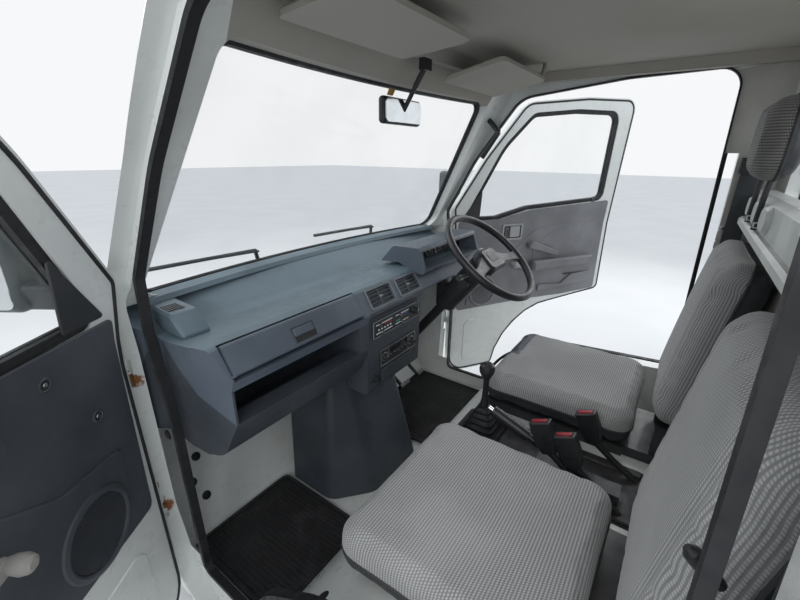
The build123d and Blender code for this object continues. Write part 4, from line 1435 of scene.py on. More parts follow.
    def build_crank(self) -> None:
        """Make the window crank: its plate, boss, arm and knob."""
        p = self.panel
        bm = bmesh.new()
        p.lathe(bm, *self.crank, ((0, 3), (34, 3), (34, 5.6), (30, 6.4), (26, 5.2), (0, 5.2)), 40, 1)
        p.lathe(bm, *self.crank, ((0, 4), (23, 4), (22, 17), (18, 20), (0, 20.6)), 32)
        slab(bm, p, rounded(self.crank_arm), (18.0, 31.0), 4.0)
        p.lathe(bm, *self.knob, ((0, 24), (9, 24), (13, 34), (14.5, 46), (12, 55), (8, 57.5), (0, 58)), 28)
        p.lathe(bm, *self.knob, ((0, 57.6), (8, 57.6), (7, 59.2), (0, 59.4)), 24, 2)
        self.finish("window_crank", bm, "black_plastic", self.handle, self.cover, "tab_grey")

    def build_pull(self) -> None:
        """Make the pull on its two feet."""
        bm = bmesh.new()
        slab(bm, self.panel, rounded(self.pull, 5), (20.0, 35.0), 5.0)
        for u, v in self.pull_feet:
            self.panel.box(bm, (u - 12, u + 12), (v - 10, v + 10), (3, 24), 4.0)
        self.finish("pull", bm, "black_plastic", self.cover)

    def build_lever(self) -> None:
        """Make the release lever in its frame."""
        p = self.panel
        bm = bmesh.new()
        p.frame(bm, (466, 584), (662, 740), (-1.0, 5.2), 9.0, 7.0)
        p.box(bm, (472, 578), (668, 734), (-1.0, 1.6), 0.0, 1)
        p.plate(bm, (508, 566), (676, 728), (1.5, 9.0), 6.0, 2.5)
        p.box(bm, (484, 500), (682, 722), (1.5, 6.0), 2.0, 1)
        lever = "silver_grey" if self.side == "driver" else self.cover
        self.finish("release_lever", bm, "black_plastic", lever, "black")

    def build_screws(self) -> None:
        """Make the screw cups and the lock knob."""
        p = self.panel
        bm = bmesh.new()
        for u, v in self.caps:
            p.lathe(bm, u, v, ((0, -1), (12.5, -1), (12.5, 1.0), (9.5, 2.2), (7.5, 0.8), (0, 0.8)), 24)
            # A black disc in each cup stands for the dark of its screw hole: painted shade.
            p.lathe(bm, u, v, ((0, 0.5), (7.4, 0.5), (7.4, 1.2), (0, 1.2)), 20, 1)
            p.lathe(bm, u, v, ((0, 1.0), (4, 1.0), (3.4, 2.4), (0, 2.8)), 14, 2)
        u, v = self.lock_knob
        p.lathe(bm, u, v, ((0, -12), (4, -12), (4, 4), (0, 4)), 12, 1)
        p.box(bm, (u - 7, u + 7), (v - 12, v + 18), (-10, -2), 3.0, 1)
        self.finish("screws_and_lock", bm, "black_plastic", self.cover, "black", "steel")

    def edge_path(self) -> list[Vector]:
        """The line of the edge seal, just inside the door's outline.

        Returns:
            The line's points, in metres.
        """
        centre_y, centre_z, radius = self.arch
        rows = [(212.0, -12.0, 90.0)]
        start = radians(7.6)
        for k in range(7):
            angle = start + (pi / 2 - start) * k / 6
            rows.append((centre_y - radius * cos(angle), centre_z + radius * sin(angle), 30.0))
        rows += [
            (1168.0, 338.0, 36.0), (1146.0, 1308.0, 60.0), (842.0, 1300.0, 300.0), (508.0, 1264.0, 90.0),
            (330.0, 1040.0, 400.0), (194.0, 826.0, 30.0), (212.0, 660.0, 150.0),
        ]
        outline = rounded(rows, 5)
        path = []
        for i, (u, v) in enumerate(outline):
            before, after = Vector(outline[i - 2]), Vector(outline[(i + 2) % len(outline)])
            way = (after - before).normalized()
            path.append(self.panel.point(u - way.y * self.seal_inset, v + way.x * self.seal_inset, -6.0))
        return path

    def build_edges(self) -> None:
        """Make the rubber round the door's edge, the mirror patch and the lower pressing."""
        bm = bmesh.new()
        add_tube(bm, self.edge_path(), 0.0044, 8, closed=True)
        self.finish("edge_seal", bm, "seal_rubber", "seal")
        bm = bmesh.new()
        slab(bm, self.panel, rounded(self.patch), (-4.7, -1.0), 1.2)
        self.finish("mirror_patch", bm, "black_plastic", "black")
        bm = bmesh.new()
        slab(bm, self.panel, rounded(self.lower_panel, 6), (-5.2, -2.4), 2.4)
        self.finish("lower_pressing", bm, "body_paint", "body_white")

    def build_outside(self) -> None:
        """Make the mirror's glass, the outer handle, the lock and the rubbing strip."""
        bm = bmesh.new()
        facing_rear(self.mirror_y).plate(bm, *self.mirror, (-1.0, 1.4), 14.0, 1.0)
        self.finish("mirror_glass", bm, "black_plastic", "mirror", leaning=False)
        outside = facing_side(self.skin_x, 0, 0)
        bm = bmesh.new()
        outside.frame(bm, (1010, 1120), (600, 656), (-1.0, 3.0), 7.0, 10.0)
        outside.box(bm, (1016, 1114), (606, 650), (-1.0, 0.8), 0.0)
        outside.plate(bm, (1022, 1108), (628, 650), (0.5, 9.0), 6.0, 3.0)
        outside.lathe(bm, *self.lock_barrel, ((0, -1), (10, -1), (9, 3), (0, 3.6)), 20, 1)
        outside.box(bm, (230, 1120), (738, 746), (-1.5, 3.0), 1.5)
        self.finish("outside", bm, "black_plastic", "black", "steel", leaning=False)

    def build(self) -> None:
        """Make everything on this door."""
        self.build_trim()
        self.build_speaker()
        self.build_crank()
        self.build_pull()
        self.build_lever()
        self.build_screws()
        self.build_edges()
        self.build_outside()


@dataclass
class Doors:
    """Both doors, which stand open by their angles in degrees."""

    passenger_angle: float = 55.0
    driver_angle: float = 57.5

    def build(self) -> None:
        """Dress the passenger's door, then the driver's."""
        Door("passenger", self.passenger_angle, "charcoal", "tab_grey").build()
        Door("driver", self.driver_angle, "grey_trim", "silver_grey").build()


@dataclass
class Dashboard:
    """The dashboard with its bevelled end, front lip, demister grilles, vents and lid latch."""

    half_width: float = 600.0
    bevel_x: float = 572.0
    reach: tuple[Span, ...] = (
        (100.0, 40.0), (188.0, 40.0), (216.0, 16.0), (300.0, 17.0), (352.0, 12.0), (425.0, -24.0),
    )
    tray_z: float = 740.0
    # Upward faces above this height get the painted highlight.
    painted_highlight_above: float = 684.0
    dark_below: float = 590.0
    face_top: Span = (384.0, 698.0)
    face_low: Span = (425.0, 634.0)
    vents: tuple[Span, ...] = ((31.0, 142.0), (-105.0, 4.0))
    vent_rows: int = 5
    vent_size: Span = (9.0, 64.0)
    lip_end: float = 596.0
    demisters: tuple[Span, ...] = ((-470.0, -150.0), (-60.0, 260.0))
    end_wall: tuple[Point, ...] = (
        (104.0, 690.0, 4.0), (112.0, 741.0, 10.0), (258.0, 739.0, 14.0), (318.0, 694.0, 8.0),
    )
    end_slots: int = 6
    end_slot_step: float = 5.8

    def slant(self) -> Panel:
        """The slanted face that holds the vents, from its top edge downward.

        Returns:
            The face as a panel.
        """
        (y0, z0), (y1, z1) = self.face_top, self.face_low
        down = Vector((0, y1 - y0, z1 - z0)).normalized()
        out = Vector((0, -down.z, down.y))
        return Panel(at(0, *self.face_top), Vector((1, 0, 0)), -down, out)

    def reach_at(self, y: float) -> float:
        """How far the end stands out beyond the straight moulding.

        Args:
            y: The place from front to rear, in millimetres.

        Returns:
            The reach in millimetres.
        """
        for (y0, r0), (y1, r1) in zip(self.reach, self.reach[1:]):
            if y <= y1:
                return r0 + (r1 - r0) * max(0.0, (y - y0) / (y1 - y0))
        return self.reach[-1][1]

    def build_sill(self) -> None:
        """Make the moulding's front lip, which meets the windscreen's rubber."""
        bm = bmesh.new()
        rings = []
        section = ((0, 752.6), (0, 756.0), (12, 757.5), (36, 752.0), (42, 741.0), (30, 741.0))
        for k in range(25):
            x = -self.lip_end + 2 * self.lip_end * k / 24
            y = 82.5 + 23.0 * (x / 400) ** 2
            rings.append([at(x, y + b, c) for b, c in section])
        add_loft(bm, rings)
        # The whole lip takes the lighter slate: a painted highlight on the dashboard's top.
        finish_piece("dash_front_lip", bm, Body.CAB, "dash_plastic", "slate_painted_highlight")

    def build_body(self) -> None:
        """Copy the moulding and bevel its passenger end, where the real one turns away."""
        bm = bmesh.new()
        bm.from_mesh(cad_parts["dash_moulding"].data)
        edge = at(self.bevel_x, 0, 0)
        cuts = [(edge, (1, 0, 0))] + [(at(0, y, 0), (0, 1, 0)) for y, _ in self.reach[1:-1]]
        for spot, way in cuts:
            split(bm, spot, way)
        for vert in bm.verts:
            share = max(0.0, (vert.co.x - edge.x) / ((self.half_width - self.bevel_x) * MM))
            vert.co.x += self.reach_at(vert.co.y / MM + DATUM_Y) * MM * share
        top = at(0, 0, self.painted_highlight_above).z
        bmesh.ops.recalc_face_normals(bm, faces=bm.faces)
        # Upward faces above that height take the lighter slate as a painted highlight, the sky's reflection
        # painted into the colour; faces below dark_below take the darker slate.
        for face in bm.faces:
            middle = face.calc_center_median()
            low = middle.z < at(0, 0, self.dark_below).z
            face.material_index = 1 if face.normal.z > 0.55 and middle.z > top else 2 if low else 0
        finish_piece("dashboard", bm, Body.CAB, "dash_plastic", "slate", "slate_painted_highlight", "slate_dark",
                     replaced=("dash_moulding",))

    def build_end(self) -> None:
        """Make the raised wall beside the tray, its slots and the demister grilles."""
        bm = bmesh.new()
        slab(bm, facing_side(0, 0, 0), rounded(self.end_wall), (540.0, self.lip_end), 5.0)
        # The wall takes the lighter slate: a painted highlight.
        finish_piece("dash_end_wall", bm, Body.CAB, "dash_plastic", "slate_painted_highlight")
        slots = ROWS.make("dash_end_slots", small_box((3.2, 40, 1.4)), self.end_slots, "black",
                          Matrix.Translation(at(556, 222, self.tray_z + 0.6)),
                          Step=Vector((self.end_slot_step * MM, 0.0, 0.0)))
        seat_on(slots, Body.CAB, "dash_plastic")
        bm = bmesh.new()
        top = facing_up(0, 0, self.tray_z)
        for x0, x1 in self.demisters:
            top.plate(bm, (x0, x1), (78, 96), (-1.0, 0.8), 4.0, 0.6)
        top.box(bm, (-562, 540), (124, 126.5), (-1.2, 0.7), 0.3)
        finish_piece("demister_grilles", bm, Body.CAB, "dash_plastic", "black")

    def build_vents(self) -> None:
        """Make both centre vents: a dark box, its frame, slats and the thumb tab."""
        p = self.slant()
        frames, boxes = bmesh.new(), bmesh.new()
        top, low = -self.vent_size[0], -self.vent_size[1]
        level = (low + top) / 2
        for x0, x1 in self.vents:
            p.box(boxes, (x0, x1), (low, top), (-19, -6), 0.0)
            p.frame(frames, (x0 - 3, x1 + 3), (low - 3, top + 3), (-6.5, 3.0), 5.0, 6.0)
            middle = (x0 + x1) / 2
            p.box(frames, (middle - 1.5, middle + 1.5), (low, top), (-7, -3), 0.5)
            p.plate(frames, (middle - 6, middle + 6), (level - 3.5, level + 3.5), (-4, 3.6), 3.0, 1.0, 1)
        finish_piece("vent_boxes", boxes, Body.CAB, "black_plastic", "black", replaced=("dash_vents",))
        finish_piece("vent_frames", frames, Body.CAB, "black_plastic", "slate_light", "tab_grey")
        pitch = (self.vent_size[1] - self.vent_size[0]) / self.vent_rows
        for number, (x0, x1) in enumerate(self.vents):
            seed = small_box((x1 - x0, 2.4, 9.0))
            bmesh.ops.rotate(seed, verts=seed.verts, matrix=Matrix.Rotation(radians(22), 3, "X"))
            place = p.place((x0 + x1) / 2, top - pitch / 2, -2.6)
            slats = ROWS.make(f"vent_slats_{number}", seed, self.vent_rows, "slate", place,
                              Step=Vector((0, -pitch * MM, 0)))
            seat_on(slats, Body.CAB, "black_plastic")

    def build_lid(self) -> None:
        """Make the glovebox lid's latch in its recess."""
        p = self.slant()
        lid = Panel(p.point(0, 0, 5.5), p.across, p.up, p.out)
        bm = bmesh.new()
        lid.frame(bm, (349, 414), (-62, -22), (-0.6, 1.2), 2.0, 4.0)
        lid.box(bm, (351, 412), (-60, -24), (-0.6, 0.3), 0.0, 1)
        lid.plate(bm, (353, 410), (-46, -26), (0.0, 3.6), 3.0, 1.6)
        finish_piece("lid_latch", bm, Body.LID, "dash_plastic", "slate", "black")

    def build(self) -> None:
        """Make the dashboard's own pieces."""
        self.build_body()
        self.build_sill()
        self.build_end()
        self.build_vents()
        self.build_lid()


@dataclass
class Dial:
    """One round gauge: marks, numbers and a needle."""

    x: float
    z: float
    radius: float
    numbers: tuple[int, ...]
    needle: float
    start: float = 225.0
    sweep: float = 270.0
    number_size: float = 0.0062

    def build(self, panel: Panel, name: str) -> None:
        """Make the gauge.

        Args:
            panel: The instrument panel's face.
            name: The start of its pieces' names.
        """
        r = self.radius
        count = len(self.numbers) * 2 - 1
        step = radians(self.sweep) / (count - 1)
        marks = RINGS.make(f"{name}_marks", small_box((3.4, 0.8, 0.6), (r - 2, 0, 1.6)), count, "white_mark",
                           panel.place(self.x, self.z), Start=radians(self.start), Turn=-step)
        seat_on(marks, Body.CAB, "black_plastic")
        bm = bmesh.new()
        cup = ((0, 0), (r + 3, 0), (r + 3, 2.2), (r + 1, 2.6), (r + 1, 1.0), (0, 1.0))
        panel.lathe(bm, self.x, self.z, cup, 36)
        panel.lathe(bm, self.x, self.z, ((0, 1), (3.4, 1), (2.8, 4.2), (0, 4.4)), 16)
        reach = r * 0.8
        angle = radians(self.needle)
        u, v = self.x + cos(angle) * reach / 2, self.z + sin(angle) * reach / 2
        panel.box(bm, (u - reach / 2, u + reach / 2), (v - 0.6, v + 0.6), (2.4, 3.4), 0.2, 1, self.needle)
        finish_piece(f"{name}_face", bm, Body.CAB, "black_plastic", "dial_face", "red")
        for k, number in enumerate(self.numbers):
            turn = radians(self.start) - 2 * step * k
            place = panel.place(self.x + cos(turn) * (r - 8.5), self.z + sin(turn) * (r - 8.5), 1.3)
            self.build_number(f"{name}_number_{number}", str(number), place)

    def build_number(self, name: str, number: str, place: Matrix) -> None:
        """Make one raised number.

        Args:
            name: The piece's name.
            number: What it reads.
            place: Its place on the dial's face.
        """
        text = bpy.data.curves.new(name, "FONT")
        text.body = number
        text.size = self.number_size
        text.align_x = text.align_y = "CENTER"
        text.extrude = 0.0002
        seed = bpy.data.objects.new("number_seed", text)
        bpy.context.scene.collection.objects.link(seed)
        bpy.context.view_layer.update()
        mesh = settled_mesh(seed)
        bpy.data.objects.remove(seed)
        mesh.transform(place)
        seat_on(mesh_object(name, mesh, "white_mark"), Body.CAB, "black_plastic")


@dataclass
class Instruments:
    """The round dials in the hooded box."""

    face_y: float = 345.0
    opening: tuple[Span, Span] = ((-506.0, -126.0), (698.0, 750.0))
    warning_lamps: tuple[float, ...] = (-425.0, -415.0, -217.0, -207.0)

    def build(self) -> None:
        """Make the dark face with its warning lamps and dials."""
        face = facing_rear(self.face_y)
        bm = bmesh.new()
        face.box(bm, *self.opening, (-4, 0), 0.0)
        for u in self.warning_lamps:
            face.box(bm, (u - 3, u + 3), (704, 708), (0, 0.8), 0.2, 1)
        finish_piece("instrument_face", bm, Body.CAB, "black_plastic", "dial_face", "teal")
        Dial(-330.0, 724.0, 24.0, (0, 20, 40, 60, 80, 100, 120), 222.0).build(face, "speed_dial")
        Dial(-262.0, 724.0, 19.0, (0, 1, 2), 200.0, sweep=180.0, start=180.0).build(face, "fuel_dial")
        Dial(-398.0, 724.0, 19.0, (0, 1, 2), 210.0, sweep=180.0, start=180.0).build(face, "heat_dial")


@dataclass
class Console:
    """The radio, the heater slides, the ashtray and the lighter in the centre stack."""

    heater: tuple[Span, Span] = ((-94.0, 140.0), (552.0, 602.0))
    radio: tuple[Span, Span] = ((-74.0, 104.0), (449.0, 499.0))
    ashtray: tuple[Span, Span] = ((-60.0, 100.0), (392.0, 432.0))
    heater_y: float = 418.0
    radio_y: float = 416.0
    ashtray_y: float = 414.0
    wide_slot: Span = (50.0, 128.0)
    slim_slot: Span = (-36.0, 34.0)
    fan_knob: float = -70.0
    lighter: Span = (126.0, 414.0)

    def build_radio(self) -> None:
        """Make the radio: silver frame, two knobs, its window and the five buttons."""
        p = facing_rear(self.radio_y)
        (x0, x1), (z0, z1) = self.radio
        level = (z0 + z1) / 2
        bm = bmesh.new()
        p.frame(bm, (x0 - 3, x1 + 3), (z0 - 3, z1 + 3), (-1, 2.4), 3.4, 4.0, 1)
        for u in (x0 + 37, x1 - 37):
            p.box(bm, (u - 1.4, u + 1.4), (z0, z1), (-0.5, 2.0), 0.4, 1)
        p.box(bm, (x0 + 42, x1 - 42), (z0 + 24, z1 - 6), (-0.5, 1.2), 0.4, 2)
        for k in range(5):
            u = x0 + 50 + k * 19.5
            p.box(bm, (u - 8, u + 8), (z0 + 7, z0 + 17), (-0.5, 4.0), 1.2)
            p.box(bm, (u - 3, u + 3), (z0 + 19.5, z0 + 20.4), (0, 0.6), 0.0, 3)
        for u in (x0 + 18, x1 - 18):
            p.lathe(bm, u, level, ((0, -0.5), (15, -0.5), (15, 1.4), (12.5, 2.0), (0, 2.0)), 32, 1)
            p.lathe(bm, u, level, ((0, 1), (11.5, 1), (10.5, 12), (9.6, 13), (0, 13.4)), 28)
            p.box(bm, (u - 0.7, u + 0.7), (level + 3, level + 10), (13, 13.9), 0.2, 3)
        finish_piece("radio", bm, Body.CAB, "black_plastic", "black", "silver", "black_gloss", "white_mark")

    def build_heater(self) -> None:
        """Make the heater panel: slots, chrome slides, warm and cold wedges, the fan's knob."""
        p = facing_rear(self.heater_y)
        (x0, x1), (z0, z1) = self.heater
        high, low, level = z1 - 12, z0 + 11, (z0 + z1) / 2
        bm = bmesh.new()
        p.frame(bm, (x0 - 1, x1 + 1), (z0 - 1, z1 + 1), (-1, 1.6), 2.4, 4.0, 4)
        for slot in (self.wide_slot, self.slim_slot):
            for v in (high, low):
                p.box(bm, slot, (v - 1.6, v + 1.6), (-0.5, 0.9), 0.3, 5)
        for u, v in ((116, high), (104, low), (20, high), (8, low)):
            p.box(bm, (u - 2, u + 2), (v - 7, v + 7), (0, 11), 1.4, 1)
        marks = (
            ((54, 86), z1 - 20, 2), ((-32, -8), z1 - 20, 3), ((-4, 16), z1 - 20, 2), ((10, 30), z0 + 18, 6),
        )
        for u, v, finish in marks:
            p.box(bm, u, (v, v + 3), (0, 0.8), 0.0, finish)
        for k in range(5):
            p.box(bm, (56 + 14 * k, 62 + 14 * k), (z0 + 19, z0 + 23), (0, 0.8), 0.0, 5)
        u = self.fan_knob
        p.lathe(bm, u, level, ((0, -0.5), (15, -0.5), (14, 3), (10.5, 4), (9.5, 15), (0, 15.6)), 28)
        p.box(bm, (u - 1, u + 1), (level + 2, level + 9), (15, 16.2), 0.2, 5)
        finish_piece("heater_panel", bm, Body.CAB, "black_plastic", "black", "chrome", "red", "blue",
                     "slate_light", "white_mark", "teal")

    def build_low(self) -> None:
        """Make the ashtray's lid and the lighter."""
        p = facing_rear(self.ashtray_y)
        (x0, x1), (z0, z1) = self.ashtray
        bm = bmesh.new()
        p.plate(bm, (x0 - 2, x1 + 2), (z0 - 2, z1 + 2), (-1, 3.0), 5.0, 1.6)
        p.box(bm, (x0 + 40, x1 - 40), (z1 - 9, z1 - 3), (2.0, 8.0), 2.0)
        p.lathe(bm, *self.lighter, ((0, -6), (12, -6), (12, 1), (9, 2.4), (8, 9), (0, 9.6)), 26, 1)
        finish_piece("ashtray_and_lighter", bm, Body.CAB, "black_plastic", "slate_dark", "black")

    def build(self) -> None:
        """Make the console's faces."""
        self.build_radio()
        self.build_heater()
        self.build_low()


@dataclass
class Cushion:
    """A stuffed seat piece: crowned, swelled by simulation, with sewn channels and piping."""

    name: str
    node: str
    cloth: str
    crown_axis: Axis
    seam_depth: float
    lean: float = 0.0
    depth: float = 88.0
    crown: float = 10.0
    corner: float = 55.0
    voxel: float = 8.0
    shrink: float = 8.0
    cap: float = 15.0
    channels: tuple[Span, ...] = ()
    corner_patch: float = 0.0
    half: int = 0
    side: str = "vinyl_dark"
    back_height: float = 488.0
    half_from: float = 200.0
    pressure: float = 4.0
    stiffness: float = 20.0
    frames: int = 20
    channel_depth: float = 3.5
    piping_radius: float = 3.4
    spare: float = 4.0

    def base(self) -> bpy.types.Object:
        """The slightly smaller rounded form that the stuffing will swell.

        Returns:
            The form, linked and in its place.
        """
        low, high = (Vector(corner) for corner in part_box(self.node))
        if self.half:
            inner = self.half_from * MM
            low.x, high.x = (inner, high.x) if self.half > 0 else (low.x, -inner)
        self.low, self.high = low, high
        size = high - low
        if self.lean:
            size = Vector((size.x, self.depth * MM, self.back_height * MM))
        size = size - Vector((1, 1, 1)) * (2 * self.shrink * MM)
        self.size = size
        self.centre = (low + high) / 2
        self.turn = Matrix.Rotation(-radians(self.lean), 3, "X")
        up = self.crown_axis.value
        flat = [k for k in range(3) if k != up]
        outline = rounded_rectangle(size[flat[0]] / MM, size[flat[1]] / MM, self.corner - self.shrink, 5)
        bm = bmesh.new()
        rings = []
        bulge = min(size[up] / MM * 0.45, 24.0)
        straight = size[up] / MM / 2 - bulge
        for k in range(9):
            angle = pi * k / 8 - pi / 2
            level = sin(angle) * bulge + straight * (1 if k > 4 else -1 if k < 4 else 0)
            inset = bulge * (1 - cos(angle)) * 0.7
            ring = []
            for u, v in outline:
                spot = Vector((0, 0, 0))
                spot[flat[0]] = u * (1 - inset / (size[flat[0]] / MM / 2)) * MM
                spot[flat[1]] = v * (1 - inset / (size[flat[1]] / MM / 2)) * MM
                spot[up] = level * MM
                ring.append(spot)
            rings.append(ring)
        add_loft(bm, rings)
        piece = from_bmesh(self.name, bm, self.cloth, self.side, "vinyl_slate")
        piece.data.transform(Matrix.Translation(self.centre) @ self.turn.to_4x4())
        return piece

    def local(self, point: Vector) -> Vector:
        """A point in the piece's own square position, about its centre."""
        return self.turn.transposed() @ (point - self.centre)

    def apply_all(self, piece: bpy.types.Object) -> None:
        """Turn the piece's live modifiers into its mesh.

        Args:
            piece: The piece.
        """
        mesh = settled_mesh(piece)
        old = piece.data
        piece.modifiers.clear()
        piece.data = mesh
        bpy.data.meshes.remove(old)

    def swell(self, piece: bpy.types.Object) -> None:
        """Remesh the form and puff it up under cloth pressure, each point's move capped.

        Args:
            piece: The piece.
        """
        remesh = piece.modifiers.new("remesh", "REMESH")
        remesh.mode = "VOXEL"
        remesh.voxel_size = self.voxel * MM
        self.apply_all(piece)
        rest = [v.co.copy() for v in piece.data.vertices]
        cloth = piece.modifiers.new("cloth", "CLOTH")
        cloth.settings.use_pressure = True
        cloth.settings.uniform_pressure_force = self.pressure
        cloth.settings.quality = 3
        cloth.settings.tension_stiffness = self.stiffness
        cloth.settings.effector_weights.gravity = 0.0
        scene = bpy.context.scene
        for number in range(1, self.frames + 1):
            scene.frame_set(number)
        mesh = settled_mesh(piece)
        piece.modifiers.clear()
        scene.frame_set(1)
        for vertex, start in zip(mesh.vertices, rest):
            move = vertex.co - start
            if move.length > self.cap * MM:
                move = move.normalized() * self.cap * MM
            vertex.co = start + move
        piece.data = mesh

    def sew(self, piece: bpy.types.Object) -> None:
        """Crown the faces, sink the sewn channels and give each face its covering.

        Args:
            piece: The piece.
        """
        up = self.crown_axis.value
        across = 2 if up == 1 else 1
        facing = 1.0 if self.crown_axis is Axis.Z else -1.0
        half = self.size / 2
        for vertex in piece.data.vertices:
            p = self.local(vertex.co)
            share = p[up] * facing / half[up]
            if share > 0:
                u, v = p.x / half.x, p[across] / half[across]
                lift = self.crown * MM * (1 - u * u * 0.8) * (1 - v * v * 0.8) * share
                p[up] += facing * lift * 0.6
                for place, width in self.channels:
                    gap = (p.x if up == 1 else p.y) / MM - place
                    p[up] -= facing * self.channel_depth * MM * share * 2.718 ** (-(gap / width) ** 2)
            vertex.co = self.centre + self.turn @ p
        seam = half[up] / MM - self.seam_depth
        for polygon in piece.data.polygons:
            p = self.local(polygon.center)
            polygon.material_index = 0 if p[up] * facing / MM > seam else 1
            front = p.y / MM + half.y / MM < self.corner_patch and p.x < half.x * 0.15
            if self.corner_patch and polygon.material_index == 0 and front:
                polygon.material_index = 2
            polygon.use_smooth = True

    def unfold(self, piece: bpy.types.Object) -> None:
        """Lay the cloth's rows over the crowned face and on round its edges.

        Args:
            piece: The piece.
        """
        up = self.crown_axis.value
        along = 2 if up == 1 else 1
        facing = 1.0 if self.crown_axis is Axis.Z else -1.0
        half = self.size / 2
        spots = []
        for vertex in piece.data.vertices:
            p = self.local(vertex.co)
            depth = max(half[up] - p[up] * facing, 0.0)
            pair = []
            for k in (0, along):
                edge = min(max((abs(p[k]) / half[k] - 0.72) / 0.28, 0.0), 1.0)
                pair.append(p[k] + (depth * edge if p[k] > 0 else -depth * edge))
            spots.append(pair)
        layer = piece.data.uv_layers.new(name="cover")
        for loop in piece.data.loops:
            layer.data[loop.index].uv = spots[loop.vertex_index]

    def fit(self, piece: bpy.types.Object) -> None:
        """Hold the swelled form inside its own space.

        Args:
            piece: The piece.
        """
        room = self.spare * MM
        for vertex in piece.data.vertices:
            for k in range(3):
                floor = self.low[k] - (0.0 if k == 2 else room)
                vertex.co[k] = min(max(vertex.co[k], floor), self.high[k] + room)

    def piping(self, piece: bpy.types.Object) -> bpy.types.Object:
        """The corded edge where the covering meets the sides.

        Args:
            piece: The cushion.

        Returns:
            The piping, linked.
        """
        mesh = piece.data
        tree = BVHTree.FromPolygons([v.co for v in mesh.vertices], [p.vertices for p in mesh.polygons])
        up = self.crown_axis.value
        facing = 1.0 if self.crown_axis is Axis.Z else -1.0
        level = facing * (self.size[up] / 2 - self.seam_depth * MM)
        path = []
        for a, b in circle(0.0, 0.0, 1.0, 96):
            outward = Vector((a, 0, b)) if up == 1 else Vector((a, b, 0))
            base = Vector((0, level, 0)) if up == 1 else Vector((0, 0, level))
            start = self.centre + self.turn @ (base + outward * 0.6)
            hit = tree.ray_cast(start, self.turn @ -outward)
            if hit[0] is not None:
                path.append(hit[0])
        bm = bmesh.new()
        add_tube(bm, path, self.piping_radius * MM, 8, closed=True)
        return from_bmesh(self.name + "_piping", bm, self.side)

    def build(self) -> None:
        """Make the whole piece and put it in place of its plain solid."""
        piece = self.base()
        self.swell(piece)
        self.sew(piece)
        self.unfold(piece)
        self.fit(piece)
        smooth = piece.modifiers.new("smooth", "SUBSURF")
        smooth.levels = smooth.render_levels = 1
        self.apply_all(piece)
        seat_on(piece, Body.CAB, "seat_fabric", self.node)
        seat_on(self.piping(piece), Body.CAB, "seat_fabric")


@dataclass
class Seats:
    """Both seats, their headrests on the rear ledge, and the recliner's lever."""

    lean: float = 8.0
    ledge_z: float = 896.0
    ledge_y: Span = (1194.0, 1264.5)
    posts: tuple[float, ...] = (-396.0, -256.0, 256.0, 396.0)
    post_rise: tuple[Span, ...] = ((1199.0, 898.0), (1199.0, 930.0), (1200.0, 980.0), (1204.0, 1040.0))
    bump_shifts: tuple[float, ...] = (-140.0, 0.0, 140.0)
    seat_x: float = 326.0
    recliner: tuple[Point, ...] = (
        (562.0, 1158.0, 692.0), (570.0, 1148.0, 706.0), (574.0, 1138.0, 718.0), (575.0, 1130.0, 725.0),
        (575.0, 1126.0, 728.0),
    )

    def build_ledge(self) -> None:
        """Make the pressed ledge with its bumps and the clipped black posts."""
        top = facing_up(0, 0, self.ledge_z)
        bm = bmesh.new()
        top.plate(bm, (-560, 560), self.ledge_y, (-20, 0), 12.0, 6.0)
        top.plate(bm, (-552, 552), (self.ledge_y[0] + 14, self.ledge_y[1]), (-2, 74), 16.0, 12.0)
        front = facing_front(self.ledge_y[0] + 14, self.ledge_z)
        for middle in (-self.seat_x, self.seat_x):
            for shift in self.bump_shifts:
                low, high = middle + shift - 48, middle + shift + 48
                front.plate(bm, (low, high), (4, 62), (-4, 9), 26.0, 8.0)
        for u in self.posts:
            add_tube(bm, [at(u, y, z) for y, z in self.post_rise], 0.0058, 12, index=1)
            front.box(bm, (u - 9, u + 9), (6, 20), (-2, 14), 3.0, 1)
        finish_piece("ledge_and_posts", bm, Body.CAB, "body_paint", "white_plastic", "black",
                     replaced=("headrest_ledge",))

    def build_recliner(self) -> None:
        """Make the passenger seat's recliner lever."""
        bm = bmesh.new()
        path = [at(*point) for point in self.recliner]
        add_tube(bm, path, (0.006, 0.0075, 0.009, 0.008, 0.004), 14)
        finish_piece("recliner_lever", bm, Body.CAB, "black_plastic", "black")

    def build(self) -> None:
        """Make the cushions, the backrests and the headrest pads."""
        for side in ("passenger", "driver"):
            patch = 62.0 if side == "driver" else 0.0
            Cushion(f"{side}_seat_cushion", f"{side}_cushion", "cloth_seat", Axis.Z, 46.0,
                    corner_patch=patch).build()
            Cushion(f"{side}_seat_back", f"{side}_backrest", "cloth_back", Axis.Y, 40.0, lean=self.lean,
                    channels=((-150.0, 8.0), (150.0, 8.0))).build()
            half = 1 if side == "passenger" else -1
            Cushion(f"{side}_headrest_pad", "headrest_pads", "cloth_pad", Axis.Y, 34.0, half=half, crown=8.0,
                    corner=62.0, voxel=6.0, shrink=6.0).build()
            log.info("%s seat made", side)
        self.build_ledge()
        self.build_recliner()


